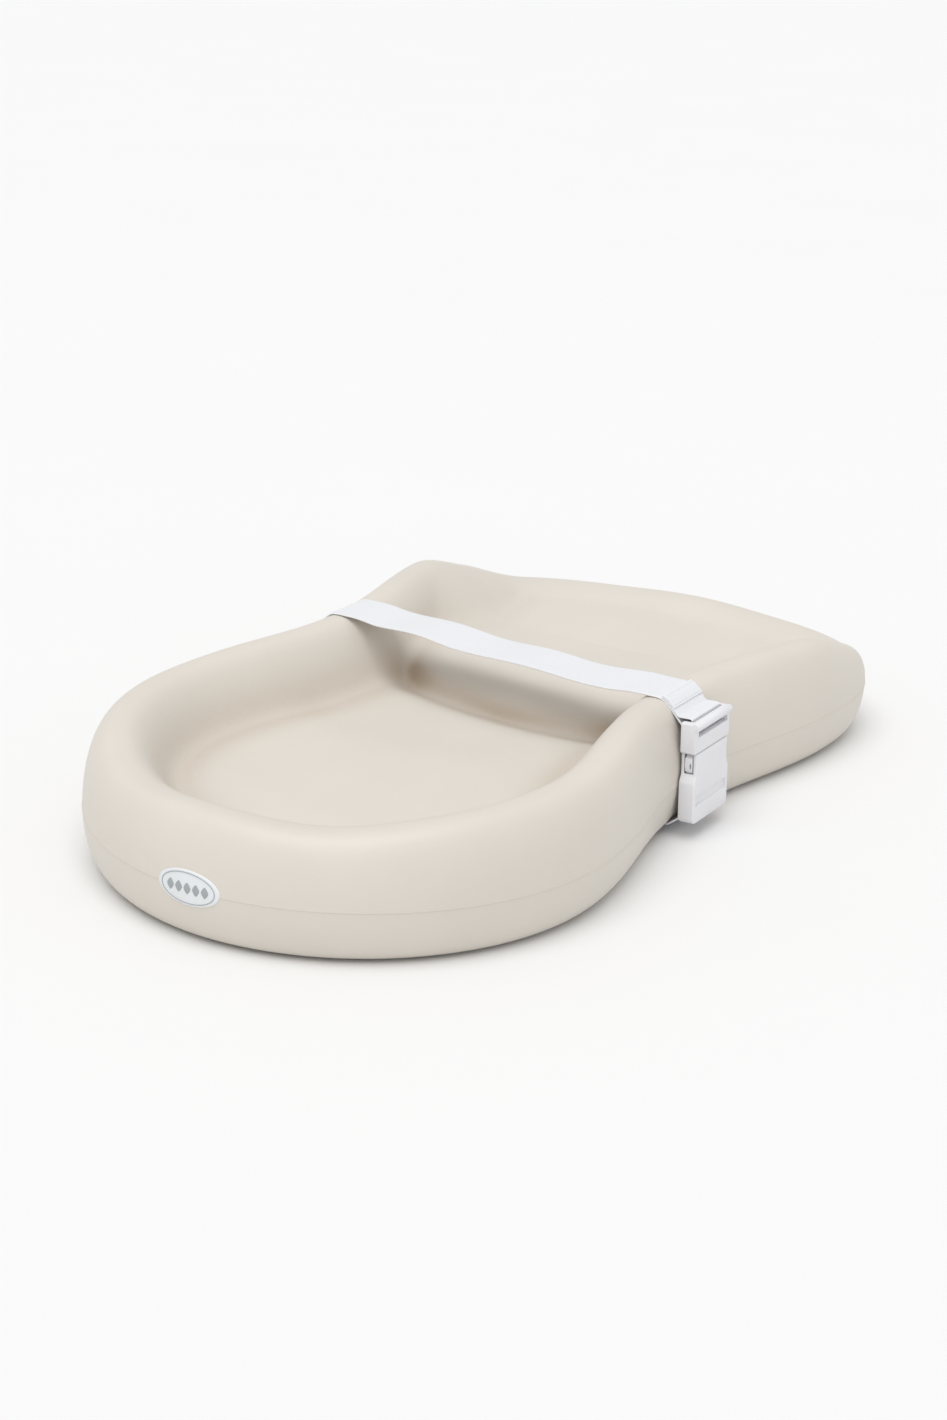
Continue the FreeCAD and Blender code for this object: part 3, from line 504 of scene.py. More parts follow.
def hollow_height(x, y, depth, crest):
    """Height of the hollow at a place so far in from the outline, below a crest of that height."""
    head_floor = HEAD_FLOOR - HEAD_FLOOR_FALL * smooth_step((x - HEAD_FALL_X) / HEAD_FALL_RUN)
    seat_floor = SEAT_FLOOR - SEAT_FALL * smooth_step((x - SEAT_FALL_X) / SEAT_FALL_RUN)
    inward = depth - CREST_INSET

    def wall(run, floor, crown, foot):
        """Slope from the crest, rounder at the top and softer at the foot as the two numbers grow."""
        part = np.clip(inward / run, 0, 1)
        return floor + (np.maximum(crest, floor) - floor) * (1 - part ** crown) ** foot

    head = wall(HEAD_WALL, head_floor, HEAD_CROWN, HEAD_FOOT)
    seat_wall = SEAT_WALL + SEAT_WALL_SPREAD * smooth_step((x - SPREAD_X) / SPREAD_RUN)
    seat = wall(seat_wall, seat_floor, SEAT_CROWN, SEAT_FOOT)
    # The foot of the step curves, and runs up the side walls towards the head end
    curve = STEP_CURVATURE * (y - STEP_CENTRE_Y) ** 2
    start = STEP_X + curve - STEP_LEAN * np.maximum(head - STEP_LEAN_HEIGHT, 0)
    along = np.clip(x - start, 0, STEP_RUN)
    # A small fillet at the foot, then a bulge that levels out
    rounded_foot = along ** 2 / (along + STEP_FILLET)
    part = np.clip(rounded_foot / (STEP_RUN ** 2 / (STEP_RUN + STEP_FILLET)), 0, 1)
    rise = 1 - (1 - part) ** STEP_CROWN
    # The floor dips softly to the crease, and the step rises out of it more sharply
    beside = x - start
    crease_width = np.where(beside < 0, CREASE_BEFORE, CREASE_AFTER)
    crease = CREASE_DEPTH * np.exp(-(beside / crease_width) ** 2)
    crease = crease * smooth_step((inward - CREASE_FADE) / CREASE_FADE_RUN)
    return head + (np.maximum(seat, head) - head) * rise - crease


def foot_pockets():
    """Cutter for the six stepped holes that the feet are pressed into."""
    clear, steps = 0.2 * MM, 40
    stem_radius, disc_top = 5 * MM, 3.5 * MM
    shape = bmesh.new()
    for name in frame["nodes"]:
        if not name.startswith("foot_"):
            continue
        low, high = (Vector(corner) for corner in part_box(name))
        middle, radius = (low + high) / 2, (high.x - low.x) / 2 + clear
        profile = [(radius, -10 * MM), (radius, disc_top + clear),
                   (stem_radius + clear, disc_top + clear), (stem_radius + clear, high.z + clear)]
        turns = np.linspace(0, 2 * math.pi, steps, endpoint=False)
        rings = [[shape.verts.new((middle.x + wide * math.cos(turn), middle.y + wide * math.sin(turn), z))
                  for turn in turns] for wide, z in profile]
        for lower, upper in zip(rings, rings[1:]):
            for step in range(steps):
                beside = (step + 1) % steps
                shape.faces.new((lower[step], lower[beside], upper[beside], upper[step]))
        shape.faces.new(rings[0][::-1])
        shape.faces.new(rings[-1])
    bmesh.ops.recalc_face_normals(shape, faces=shape.faces)
    mesh = bpy.data.meshes.new("tool")
    shape.to_mesh(mesh)
    shape.free()
    return link_object("tool", mesh)


def board_pockets():
    """Cutter for the two pockets of the anchor boards, open to the channel."""
    clear = Vector((0.2 * MM,) * 3)
    boxes = []
    for name in ("anchor_board_near", "anchor_board_far"):
        low, high = (Vector(corner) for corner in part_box(name))
        boxes.append(box_solid(low - clear, high + clear))
    first, second = boxes
    shape = bmesh.new()
    shape.from_mesh(first.data)
    shape.from_mesh(second.data)
    shape.to_mesh(first.data)
    shape.free()
    bpy.data.objects.remove(second)
    return first


def soften_hollow(heights):
    """Even out kinks of the hollow, in place, but leave its crest and its middle line alone."""
    count = len(heights) - 1
    share = np.arange(count + 1) / count
    amount = 0.25 * smooth_step(share / 0.12) * smooth_step((1 - share) / 0.35)
    for _ in range(SOFTEN_ROUNDS):
        inner = heights[1:-1]
        average = (heights[:-2] + heights[2:] + np.roll(inner, 1, 1) + np.roll(inner, -1, 1)) / 4
        inner += (average - inner) * 2 * amount[1:-1, None]


def foam_rows(outline, inward, crest):
    """The pad's surface as rows of points round it, from the underside's edge to the middle line."""
    count = len(outline)
    rows = []

    def add_row(points, heights):
        rows.append(np.column_stack([points, np.broadcast_to(heights, count)]))

    # Underside edge, up to the parting line
    for part in np.linspace(0, 1, 9, endpoint=False):
        turn = part * math.pi / 2
        inset = FOOT_INSET * (1 - math.sin(turn) ** FOOT_ROUNDING)
        height = FOAM_BOTTOM + (PARTING_HEIGHT - FOAM_BOTTOM) * (1 - math.cos(turn))
        add_row(outline + inward * inset, height)
    # Parting line: a narrow ridge left by the two mould halves
    for offset, proud in PARTING_RIDGE:
        add_row(outline - inward * proud * MM, PARTING_HEIGHT + offset * MM)
    # Outer wall, from the parting line over to the crest
    for part in np.linspace(0.012, 1, 26, endpoint=False):
        turn = part * math.pi / 2
        inset = CREST_INSET * (1 - math.cos(turn) ** CREST_ROUNDING)
        add_row(outline + inward * inset, PARTING_HEIGHT + (crest - PARTING_HEIGHT) * math.sin(turn))
    # Hollow, first parallel to the outline, then drawn in to the middle line
    for part in np.linspace(0, 1, HOLLOW_ROWS):
        depth = CREST_INSET + (EDGE_DEPTH - CREST_INSET) * part
        points = outline + inward * depth
        add_row(points, hollow_height(points[:, 0], points[:, 1], np.full(count, depth), crest))
    edge = outline + inward * EDGE_DEPTH
    spine = np.column_stack([np.clip(outline[:, 0], SPINE_START, SPINE_END), np.zeros(count)])
    for part in np.linspace(0, 1, SPINE_ROWS + 1)[1:]:
        points = edge * (1 - part) + spine * part
        depth = EDGE_DEPTH + np.linalg.norm(edge - spine, axis=1) * part
        add_row(points, hollow_height(points[:, 0], points[:, 1], depth, crest))

    grid = np.stack(rows)
    soften_hollow(grid[-HOLLOW_ROWS - SPINE_ROWS:, :, 2])
    return grid


def build_foam(material):
    """The moulding, with its webbing channel and the pockets of its feet and boards cut out."""
    grid = foam_rows(*rim_line())
    rows, count = grid.shape[:2]
    faces = grid_faces(rows, count, closed_columns=True)
    faces.append(tuple(range(count - 1, -1, -1)))
    pad = make_object("foam_pad", grid.reshape(-1, 3), faces, material)
    shape = bmesh.new()
    shape.from_mesh(pad.data)
    bmesh.ops.remove_doubles(shape, verts=shape.verts, dist=0.02 * MM)
    bmesh.ops.recalc_face_normals(shape, faces=shape.faces)
    shape.to_mesh(pad.data)
    shape.free()
    channel_side = WEBBING_WIDTH / 2 + 3 * MM
    cut_with(pad, [
        box_solid((STRAP_X - channel_side, -0.3, -0.01), (STRAP_X + channel_side, 0.3, CHANNEL_ROOF)),
        foot_pockets(), board_pockets()])
    pad.data.polygons.foreach_set("use_smooth", [True] * len(pad.data.polygons))
    pad.data.set_sharp_from_angle(angle=math.radians(50))
    return pad


# ---------------------------------------------------------------- webbing

def outer_wall(x, angle):
    """(distance from the middle line, height) of the pad's outer wall at X: -90 degrees is the
    underside, 0 the parting line and 90 the crest."""
    if angle < 0:
        turn = math.radians(90 + angle)
        inset = FOOT_INSET * (1 - math.sin(turn) ** FOOT_ROUNDING)
        return half_width(x) - inset, PARTING_HEIGHT - (PARTING_HEIGHT - FOAM_BOTTOM) * math.cos(turn)
    turn = math.radians(angle)
    inset = CREST_INSET * (1 - math.cos(turn) ** CREST_ROUNDING)
    return half_width(x) - inset, PARTING_HEIGHT + (STRAP_CREST - PARTING_HEIGHT) * math.sin(turn)


def rounded(corners):
    """Path through (y, z, radius) corners, with an arc at each that has a radius."""
    path = [Vector(corners[0][:2])]
    for before, corner, after in zip(corners, corners[1:], corners[2:]):
        point, radius = Vector(corner[:2]), corner[2]
        if radius == 0:
            path.append(point)
            continue
        back, ahead = (Vector(other[:2]) - point for other in (before, after))
        back, ahead = back.normalized(), ahead.normalized()
        half_angle = back.angle(ahead) / 2
        centre = point + (back + ahead).normalized() * (radius / math.sin(half_angle))
        first = point + back * (radius / math.tan(half_angle)) - centre
        last = point + ahead * (radius / math.tan(half_angle)) - centre
        steps = max(4, int(math.degrees(first.angle(last)) / 9))
        for step in range(steps + 1):
            along = first.lerp(last, step / steps)
            path.append(centre + along.normalized() * radius)
    path.append(Vector(corners[-1][:2]))
    return np.array(path)


def resampled(path, spacing, smoothing=0):
    """Evenly spaced points along a path, rounded off by repeated averaging."""
    run = np.r_[0, np.cumsum(np.linalg.norm(np.diff(path, axis=0), axis=1))]
    count = max(3, int(round(run[-1] / spacing)) + 1)
    places = np.linspace(0, run[-1], count)
    even = np.stack([np.interp(places, run, path[:, axis]) for axis in (0, 1)], 1)
    for _ in range(smoothing):
        even[1:-1] = (even[:-2] + 2 * even[1:-1] + even[2:]) / 4
    return even


def webbing_strip(name, path, centre, material, lift=None, start_run=0.0, thickness=WEBBING):
    """Closed strip of webbing along a (y, z) path, with soft selvedges.

    centre(y, z) is the strip's middle in X and lift(across, y) moves it off the path."""
    ahead = directions(path)
    normal = np.stack([-ahead[:, 1], ahead[:, 0]], 1)
    run = start_run + np.r_[0, np.cumsum(np.linalg.norm(np.diff(path, axis=0), axis=1))]
    half, edge = WEBBING_WIDTH / 2, thickness / 2
    across = np.linspace(-half + edge, half - edge, 25)
    turn = np.radians([67.5, 45, 22.5, 0, -22.5, -45, -67.5])
    right = [(half - edge + edge * math.cos(a), edge * math.sin(a)) for a in turn]
    section = ([(a, edge) for a in across] + right + [(a, -edge) for a in across[::-1]]
               + [(-a, h) for a, h in right[::-1]])
    section = np.array(section)
    points, uvs = [], []
    for (y, z), (normal_y, normal_z), distance in zip(path, normal, run):
        raised = section[:, 1] + (lift(section[:, 0], y) if lift else 0.0)
        x = centre(y, z) + section[:, 0]
        points.append(np.stack([x, y + normal_y * raised, z + normal_z * raised], 1))
        uvs.append(np.stack([section[:, 0], np.full(len(section), distance)], 1))
    rows, columns = len(path), len(section)
    faces = grid_faces(rows, columns, closed_columns=True)
    faces.append(tuple(range(columns)))
    faces.append(tuple(range(rows * columns - 1, (rows - 1) * columns - 1, -1)))
    strip = make_object(name, np.concatenate(points), faces, material, np.concatenate(uvs))
    face_outward(strip.data)
    strip.data.set_sharp_from_angle(angle=math.radians(60))
    return strip


STRAP_CREST = 111.3 * MM
LEAVES_WALL = 68
STRAP_CLEARANCE = WEBBING / 2 + 0.25 * MM
UNDER_STRAP = CHANNEL_ROOF - 1.0 * MM
ANCHOR_END = 80 * MM
# How far the strap runs askew at the far rim, and the heights and the Y over which it sets in
STRAP_SKEW = 25 * MM
SKEW_HEIGHT, SKEW_RISE, SKEW_NEAR_Y, SKEW_SPAN = 20 * MM, 80 * MM, -0.15, 0.30
# The free span's slack, and the waves of its two edges
SAG_DEPTH, SAG_HALF_SPAN, SAG_END, SAG_FADE = 3.4 * MM, 0.15, 0.115, 0.035
FRONT_WAVE, FRONT_CREST_Y, FAR_WAVELENGTH, NEAR_WAVELENGTH = 1.3 * MM, 0.035, 0.088, 0.14
REAR_WAVE, REAR_CREST_Y, REAR_WAVELENGTH = 1.1 * MM, 0.014, 0.098
TAIL_END = -163 * MM


def wall_path(sign, start, stop, steps):
    """(y, z) points just outside the pad's wall under the strap, between two wall angles."""
    angles = np.linspace(start, stop, steps)
    on_wall = np.array([outer_wall(STRAP_X, angle) for angle in angles])
    ahead = directions(on_wall)
    outward = np.stack([ahead[:, 1], -ahead[:, 0]], 1)
    if stop < start:
        outward = -outward
    moved = on_wall + outward * STRAP_CLEARANCE
    moved[:, 0] *= sign
    return moved


def strap_middle(y, z):
    """X of the strap's centre line: it runs slightly askew over the far rim."""
    over_top = smooth_step((z - SKEW_HEIGHT) / SKEW_RISE)
    return STRAP_X + STRAP_SKEW * over_top * smooth_step((y - SKEW_NEAR_Y) / SKEW_SPAN)


def strap_sag(across, y):
    """Slack of the free span: it hangs a little and its two edges wave apart."""
    free = 1 - smooth_step((abs(y) - SAG_END) / SAG_FADE)
    sag = SAG_DEPTH * (1 - (y / SAG_HALF_SPAN) ** 2)
    wavelength = FAR_WAVELENGTH if y > FRONT_CREST_Y else NEAR_WAVELENGTH
    front = FRONT_WAVE * math.cos(2 * math.pi * (y - FRONT_CREST_Y) / wavelength)
    rear = REAR_WAVE * math.cos(2 * math.pi * (y - REAR_CREST_Y) / REAR_WAVELENGTH)
    part = across / WEBBING_WIDTH + 0.5
    return free * (sag + front * (1 - part) + rear * part)


def in_buckle(depth, height):
    """(y, z) of a point in the buckle: depth from its back face, height from its bottom."""
    return (BUCKLE_Y - depth * math.cos(LEAN) + height * math.sin(LEAN),
            BUCKLE_Z + depth * math.sin(LEAN) + height * math.cos(LEAN))


BAR_DEPTH, FOLD_RADIUS = 4.5 * MM, 2.6 * MM
REAR, FORE = BAR_DEPTH - FOLD_RADIUS, BAR_DEPTH + FOLD_RADIUS
SOCKET_BAR_HEIGHT, PLUG_BAR_HEIGHT = 10.5 * MM, 69.4 * MM
PLUG_EXIT = PLUG_TOP + 0.4 * MM
HEM_POINTS = 14


def span_path():
    """Over the top, from the far rim to the plug, round its bar and out again."""
    fold_bottom = PLUG_BAR_HEIGHT - 3.8 * MM
    return resampled(rounded(
        [(y, z, 0) for y, z in wall_path(1, 80, 90, 8)]
        + [(y, z, 0) for y, z in wall_path(-1, 90, LEAVES_WALL, 16)]
        + [(in_buckle(REAR, PLUG_BAR_HEIGHT)[0], 89.5 * MM, 8 * MM),
           (*in_buckle(REAR, fold_bottom), FOLD_RADIUS), (*in_buckle(FORE, fold_bottom), FOLD_RADIUS),
           (*in_buckle(FORE, PLUG_EXIT), 0)]), 1.5 * MM, 3)


def far_path():
    """Down the far wall and in under the pad."""
    down = [(y, z, 0) for y, z in wall_path(1, 80, -52, 60)]
    under = [(0.166, UNDER_STRAP, 5 * MM), (ANCHOR_END, UNDER_STRAP, 0)]
    return resampled(rounded(down + under), 2 * MM, 3)


def near_path():
    """From the fold round the socket's bar in under the pad."""
    fold_top = SOCKET_BAR_HEIGHT + 4.7 * MM
    return resampled(rounded([
        (*in_buckle(FORE, 2 * MM), 0), (*in_buckle(FORE, fold_top), FOLD_RADIUS),
        (*in_buckle(REAR, fold_top), FOLD_RADIUS), (*in_buckle(REAR, 4 * MM), 3 * MM),
        (-176 * MM, UNDER_STRAP, 4 * MM), (-ANCHOR_END, UNDER_STRAP, 0)]), 1.2 * MM)


def tail_path(span):
    """The free end: out of the plug, back over the span that goes in."""
    exit_y, exit_z = in_buckle(FORE, PLUG_EXIT)
    along = directions(span)
    over = span + np.stack([along[:, 1], -along[:, 0]], 1) * (WEBBING + 0.15 * MM)
    lying = over[(over[:, 0] < TAIL_END) & (over[:, 1] > exit_z + 0.6 * MM)][::-1]
    rising = rounded([(exit_y, exit_z + 0.2 * MM, 0), (exit_y, exit_z + 1.5 * MM, 1.2 * MM),
                      (*lying[0], 0)])[:-1]
    return resampled(np.vstack([rising, lying]), 1.0 * MM, 2)


def build_webbing(material, thread):
    """The runs of webbing, by name, with the hem sewn on the free end."""
    span = span_path()
    tail = tail_path(span)
    ahead = directions(tail)
    hem = (tail + np.stack([-ahead[:, 1], ahead[:, 0]], 1) * 1.35 * MM)[-HEM_POINTS:]
    strips = {"strap_span": webbing_strip("strap_span", span, strap_middle, material, strap_sag)}
    for name, path in (("strap_far", far_path()), ("strap_near", near_path()), ("strap_tail", tail)):
        strips[name] = webbing_strip(name, path, strap_middle, material)
    strips["strap_hem"] = webbing_strip("strap_hem", hem, strap_middle, material, thickness=1.2 * MM)
    strips["hem_stitches"] = build_stitches("hem_stitches", hem, (2, 11), thread)
    return strips


def build_stitches(name, path, spots, material):
    """Rows of short sewing stitches across the webbing, on its outer face."""
    shape = bmesh.new()
    ahead = directions(path)
    for spot in spots:
        (y, z), (ahead_y, ahead_z) = path[spot], ahead[spot]
        for across in np.arange(-22, 22.1, 2.75) * MM:
            made = bmesh.ops.create_uvsphere(shape, u_segments=8, v_segments=6, radius=1)["verts"]
            turn = Matrix.Rotation(math.atan2(ahead_z, ahead_y), 4, "X")
            place = Matrix.Translation((strap_middle(y, z) + across, y - ahead_z * 0.75 * MM,
                                        z + ahead_y * 0.75 * MM))
            size = Matrix.Diagonal((1.05 * MM, 0.32 * MM, 0.26 * MM, 1))
            bmesh.ops.transform(shape, matrix=place @ turn @ size, verts=made)
    mesh = bpy.data.meshes.new(name)
    shape.to_mesh(mesh)
    shape.free()
    mesh.polygons.foreach_set("use_smooth", [True] * len(mesh.polygons))
    mesh.materials.append(material)
    return link_object(name, mesh)


# ---------------------------------------------------------------- buckle

IN_BUCKLE = (Matrix.Translation((STRAP_X, BUCKLE_Y, BUCKLE_Z)) @ Matrix.Rotation(-LEAN, 4, "X"))
OPENING = 26 * MM
# Outline of the right-hand prong, (side, height) in millimetres
PRONG = [(13.5, 61.6), (17.5, 61.6), (18.6, 57.6), (24.6, 57.2), (28.6, 54.0), (29.0, 48.0),
         (28.2, 43.6), (25.2, 41.0), (25.2, 36.3), (27.8, 35.8), (27.8, 34.6), (25.0, 30.4),
         (22.6, 29.0), (21.6, 31.0), (21.4, 40.0), (19.8, 50.0), (15.4, 57.0), (13.5, 58.0)]


def local_box(side, depths, heights):
    """Cutter in the buckle's own frame: half width, depths from the back and heights."""
    return box_solid((-side, -depths[1] * MM, heights[0] * MM), (side, -depths[0] * MM, heights[1] * MM))


def cross_rod(depth, height, radius, side, steps=24):
    """Rod across the buckle."""
    turns = np.linspace(0, 2 * math.pi, steps, endpoint=False)
    outline = [(-depth + radius * math.cos(turn), height + radius * math.sin(turn)) for turn in turns]
    return prism("rod", outline, -side, side, axis="X")


def place_in_buckle(made, material):
    made.data.transform(IN_BUCKLE)
    made.data.materials.clear()
    made.data.materials.append(material)
    return made


def build_socket(material):
    waist, shoulder = 27.6, 37.5
    right = [(27.5, 0), (31, 3.5), (31, shoulder - 5)]
    for part in np.linspace(0, 1, 7)[1:]:
        right.append((waist + (31 - waist) * (0.5 + 0.5 * math.cos(math.pi * part)),
                      shoulder - 5 + 9.5 * part))
    right += [(27.4, 50.0), (28.0, 58.0)]
    outline = [(x * MM, z * MM) for x, z in right + [(-x, z) for x, z in reversed(right)]]
    socket = prism("buckle_socket_shell", outline, 0, -BUCKLE_THICKNESS)
    soften(socket, 1.5 * MM, angle=28, segments=4)
    cut_with(socket, [
        local_box(OPENING, (2.5, 11.5), (24, 60)), local_box(34 * MM, (3, 11), (41, 60)),
        local_box(28.5 * MM, (3, 11), (28, 37)), local_box(OPENING, (-1, 8.8), (-1, 17.5)),
        local_box(27 * MM, (12.3, 15), (14.5, 23.5))])
    join_with(socket, [cross_rod(BAR_DEPTH, SOCKET_BAR_HEIGHT, 1.5 * MM, OPENING + 1 * MM)])
    soften(socket, 0.35 * MM, angle=55, segments=2)
    return place_in_buckle(socket, material)


def build_plug(material):
    bottom, top = SOCKET_HEIGHT + 0.4 * MM, PLUG_TOP
    outline = [(-HALF_BUCKLE, bottom), (HALF_BUCKLE, bottom), (HALF_BUCKLE, top), (-HALF_BUCKLE, top)]
    plug = prism("buckle_plug_shell", outline, 0, -BUCKLE_THICKNESS)
    soften(plug, 1.9 * MM, angle=28, segments=4)
    join_with(plug, [cross_rod(12.6 * MM, top - 3.4 * MM, 3.4 * MM, HALF_BUCKLE - 0.2 * MM, 40)])
    cut_with(plug, [
        local_box(OPENING, (-1, 9.2), (64, 90)), local_box(OPENING, (8, 18), (72, 77)),
        box_solid((12.3 * MM, -10.6 * MM, 57 * MM), (19.3 * MM, -3.4 * MM, 62.2 * MM)),
        box_solid((-19.3 * MM, -10.6 * MM, 57 * MM), (-12.3 * MM, -3.4 * MM, 62.2 * MM))])
    join_with(plug, [cross_rod(BAR_DEPTH, PLUG_BAR_HEIGHT, 1.5 * MM, OPENING + 1 * MM),
                     local_box(8 * MM, (4, 10), (28, 59.4))])
    soften(plug, 0.4 * MM, angle=50, segments=2)
    return place_in_buckle(plug, material)


def build_prong(name, sign, material):
    outline = [(sign * x * MM, z * MM) for x, z in PRONG]
    prong = prism(name, outline, -4 * MM, -10 * MM)
    soften(prong, 0.7 * MM, angle=20, segments=3)
    turns = np.linspace(0, 2 * math.pi, 24, endpoint=False)
    dimple = [((-8.9 + 0.75 * math.cos(turn)) * MM, (48 + 2.7 * math.sin(turn)) * MM) for turn in turns]
    cut_with(prong, [prism("dimple", dimple, sign * 25.5 * MM, sign * 32 * MM, axis="X")])
    return place_in_buckle(prong, material)


# ---------------------------------------------------------------- badge

BADGE_Y, BADGE_HEIGHT, BADGE_HALF_LENGTH, BADGE_HALF_HEIGHT = 6 * MM, 46 * MM, 27 * MM, 13.5 * MM
HEAD_CREST = CREST_HEIGHTS[0] * MM
RIM_SHARE, RIM_HALF_WIDTH = 0.86, 0.35 * MM
LOZENGES, LOZENGE_LENGTH, LOZENGE_HEIGHT, LOZENGE_POWER = (-0.56, -0.28, 0.0, 0.28, 0.56), 0.115, 0.33, 1.5


def head_surface(y, z):
    """X of the pad's outer wall at the middle of the head end."""
    reach = HEAD_X + HALF_LENGTH
    across = (abs(y) / HEAD_HALF_WIDTH) ** HEAD_SQUARENESS
    outline = HEAD_X - reach * (1 - across) ** (1 / HEAD_SQUARENESS)
    if z > PARTING_HEIGHT:
        rise = (z - PARTING_HEIGHT) / (HEAD_CREST - PARTING_HEIGHT)
        return outline + CREST_INSET * (1 - math.sqrt(1 - rise ** 2) ** CREST_ROUNDING)
    fall = 1 - (z - FOAM_BOTTOM) / (PARTING_HEIGHT - FOAM_BOTTOM)
    return outline + FOOT_INSET * (1 - math.sqrt(1 - fall ** 2) ** FOOT_ROUNDING)


def on_badge(a, b, proud):
    """Point of the badge at a share of its half sizes, so far out from the wall."""
    y, z = BADGE_Y + a * BADGE_HALF_LENGTH, BADGE_HEIGHT + b * BADGE_HALF_HEIGHT
    return (head_surface(y, z) - proud, y, z)


def build_badge(plate_material, mark_material):
    columns = 96
    turns = np.linspace(0, 2 * math.pi, columns, endpoint=False)
    profile = [(part, 0.95) for part in np.linspace(0.04, 0.93, 14)]
    profile += [(0.955, 0.92), (0.975, 0.8), (0.99, 0.6), (1.0, 0.3), (1.0, -1.0), (0.9, -1.4),
                (0.04, -1.4)]
    points = [on_badge(share * math.cos(turn), share * math.sin(turn), proud * MM)
              for share, proud in profile for turn in turns]
    faces = grid_faces(len(profile), columns, closed_columns=True)
    faces += [tuple(range(columns)), tuple(range(len(points) - 1, len(points) - columns - 1, -1))]
    plate = make_object("badge_disc", points, faces, plate_material)
    marks = bmesh.new()

    def raised_line(track):
        """Low rounded rib along a closed track of (a, b) shares."""
        track = np.array(track)
        ahead = np.roll(track, -1, 0) - np.roll(track, 1, 0)
        scale = np.array([BADGE_HALF_LENGTH, BADGE_HALF_HEIGHT])
        ahead = ahead * scale
        ahead /= np.linalg.norm(ahead, axis=1)[:, None]
        side = np.stack([-ahead[:, 1], ahead[:, 0]], 1) * RIM_HALF_WIDTH / scale
        section = [(-1, 0.6), (-0.92, 1.12), (-0.6, 1.3), (0, 1.36), (0.6, 1.3), (0.92, 1.12), (1, 0.6)]
        rows = []
        for (a, b), (across_a, across_b) in zip(track, side):
            rows.append([marks.verts.new(on_badge(a + across_a * w, b + across_b * w, h * MM))
                         for w, h in section])
        count = len(rows)
        for index in range(count):
            one, two = rows[index], rows[(index + 1) % count]
            for step in range(len(section)):
                beside = (step + 1) % len(section)
                marks.faces.new((one[step], one[beside], two[beside], two[step]))

    def raised_lozenge(middle):
        """Low solid lozenge with rounded corners on the badge's long axis."""
        rows = []
        for scale, height in ((1.0, 0.6), (0.97, 1.15), (0.85, 1.3), (0.02, 1.34)):
            cosines, sines = np.cos(turns[::3]), np.sin(turns[::3])
            corner_x = LOZENGE_LENGTH * scale * np.sign(cosines) * np.abs(cosines) ** LOZENGE_POWER
            corner_z = LOZENGE_HEIGHT * scale * np.sign(sines) * np.abs(sines) ** LOZENGE_POWER
            rows.append([marks.verts.new(on_badge(middle + a, b, height * MM))
                         for a, b in zip(corner_x, corner_z)])
        for lower, upper in zip(rows, rows[1:]):
            for step in range(len(lower)):
                beside = (step + 1) % len(lower)
                marks.faces.new((lower[step], lower[beside], upper[beside], upper[step]))
        marks.faces.new(rows[0])
        marks.faces.new(rows[-1])

    rim = [(RIM_SHARE * math.cos(turn), RIM_SHARE * math.sin(turn)) for turn in turns]
    raised_line(rim)
    for middle in LOZENGES:
        raised_lozenge(middle)
    bmesh.ops.recalc_face_normals(marks, faces=marks.faces)
    mesh = bpy.data.meshes.new("badge_mark")
    marks.to_mesh(mesh)
    marks.free()
    mesh.polygons.foreach_set("use_smooth", [True] * len(mesh.polygons))
    mesh.materials.append(mark_material)
    return plate, link_object("badge_mark", mesh)


# ---------------------------------------------------------------- studio

WORLD_STRENGTH, KEY_STRENGTH, KEY_SPREAD, KEY_DIRECTION = 0.68, 1.5, 50, Vector((0.40, 0.10, -1.0))
# Angles in degrees, place in metres and focal length in millimetres
CAMERA_ANGLES = (-60.17, 19.66, 2.41)
CAMERA_TARGET, CAMERA_DISTANCE, FOCAL_LENGTH = Vector((0.0252, 0.0282, 0.05)), 2.2355, 67.58


def build_studio(material):
    """Pale floor and soft light."""
    floor = make_object("floor", [(-20, -20, 0), (20, -20, 0), (20, 20, 0), (-20, 20, 0)],
                        [(0, 1, 2, 3)], material)
    scene = bpy.context.scene
    world = bpy.data.worlds.new("studio")
    scene.world = world
    world.use_nodes = True
    sky = world.node_tree.nodes["Background"]
    sky.inputs["Color"].default_value = (1, 1, 1, 1)
    sky.inputs["Strength"].default_value = WORLD_STRENGTH
    lamp = bpy.data.lights.new("key", "SUN")
    lamp.energy = KEY_STRENGTH
    lamp.angle = math.radians(KEY_SPREAD)
    key = bpy.data.objects.new("key", lamp)
    scene.collection.objects.link(key)
    key.rotation_euler = KEY_DIRECTION.to_track_quat("-Z", "Y").to_euler()
    scene.view_settings.view_transform = "Standard"


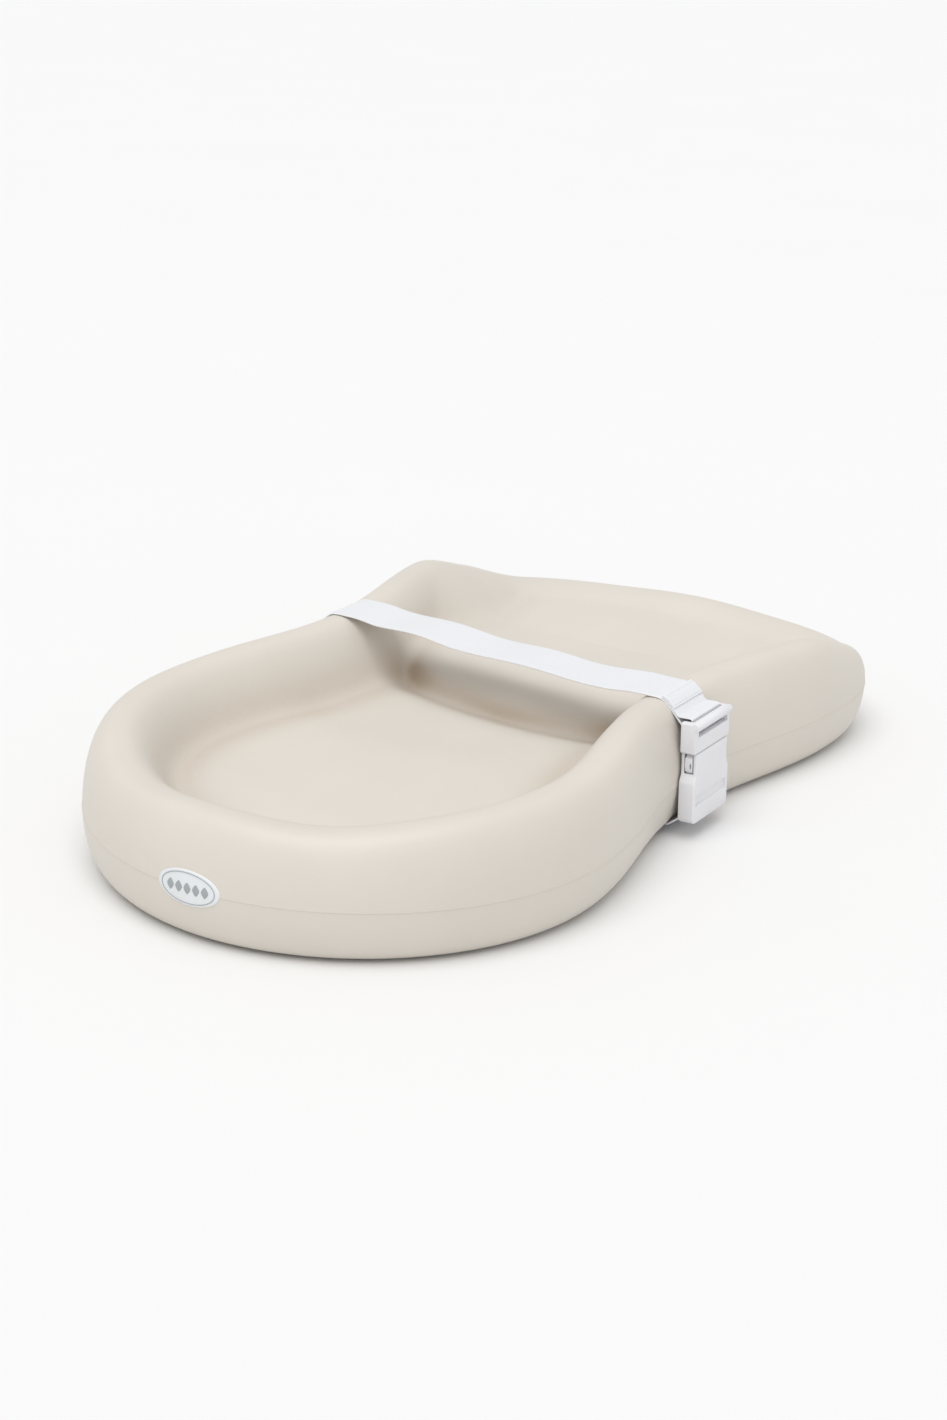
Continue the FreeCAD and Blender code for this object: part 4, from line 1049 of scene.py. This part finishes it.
def place_camera():
    azimuth, elevation, roll = (math.radians(angle) for angle in CAMERA_ANGLES)
    back = Vector((math.sin(azimuth) * math.cos(elevation), -math.cos(azimuth) * math.cos(elevation),
                   math.sin(elevation)))
    right = Vector((math.cos(azimuth), math.sin(azimuth), 0))
    up = back.cross(right)
    turned_right = right * math.cos(roll) + up * math.sin(roll)
    turned_up = up * math.cos(roll) - right * math.sin(roll)
    data = bpy.data.cameras.new("photo_view")
    data.lens = FOCAL_LENGTH
    data.clip_end = 100
    camera = bpy.data.objects.new("photo_view", data)
    bpy.context.scene.collection.objects.link(camera)
    camera.matrix_world = Matrix.Translation(CAMERA_TARGET + back * CAMERA_DISTANCE) @ Matrix(
        (turned_right, turned_up, back)).transposed().to_4x4()
    bpy.context.scene.camera = camera


# ---------------------------------------------------------------- assembly

build_studio(floor_material())
place_camera()

foam = foam_material()
webbing = webbing_material()
plastic = moulded_material("buckle_plastic_white", (0.80, 0.80, 0.83), 0.36)
badge_white = moulded_material("badge_plastic_white", (0.78, 0.80, 0.82), 0.30)
badge_grey = moulded_material("badge_mark_grey", (0.36, 0.39, 0.40), 0.42)
thread = moulded_material("sewing_thread", (0.82, 0.83, 0.85), 0.6, 0.6)

pad = build_foam(foam)
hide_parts("foam_body")
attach(pad, "pad")

strips = build_webbing(webbing, thread)
for name in ("strap_span", "strap_far", "strap_near", "strap_tail"):
    strips[name].name = name + "_webbing"
    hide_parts(name)
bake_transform(strips["strap_span"])
for name, body in (("strap_far", "pad"), ("strap_near", "pad"), ("strap_tail", "plug"),
                   ("strap_hem", "plug"), ("hem_stitches", "plug")):
    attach(strips[name], body)

socket = build_socket(plastic)
plug = build_plug(plastic)
prongs = [build_prong("prong_left_arm", -1, plastic), build_prong("prong_right_arm", 1, plastic)]
for piece, node, body in ((socket, "buckle_socket", "pad"), (plug, "buckle_plug", "plug"),
                          (prongs[0], "prong_left", "left_prong"),
                          (prongs[1], "prong_right", "right_prong")):
    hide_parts(node)
    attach(piece, body)

plate, mark = build_badge(badge_white, badge_grey)
for piece, node, slot in ((plate, "badge_plate", "badge_plastic"), (mark, "badge_ring", "badge_grey")):
    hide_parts(node)
    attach(piece, "pad")

finishes = {
    "foot_": rubber_material(),
    "anchor_board": plywood_material(),
    "strap_retainer": moulded_material("retainer_plastic_white", (0.72, 0.72, 0.74), 0.45),
    "retainer_screws": metal_material("screw_zinc", (0.62, 0.62, 0.60), 0.32),
    "threaded_inserts": metal_material("insert_brass_turned", (0.72, 0.52, 0.24), 0.34),
}
for name, node in frame["nodes"].items():
    for start, finish in finishes.items():
        if name.startswith(start):
            node.data.materials.clear()
            node.data.materials.append(finish)

bpy.context.view_layer.update()
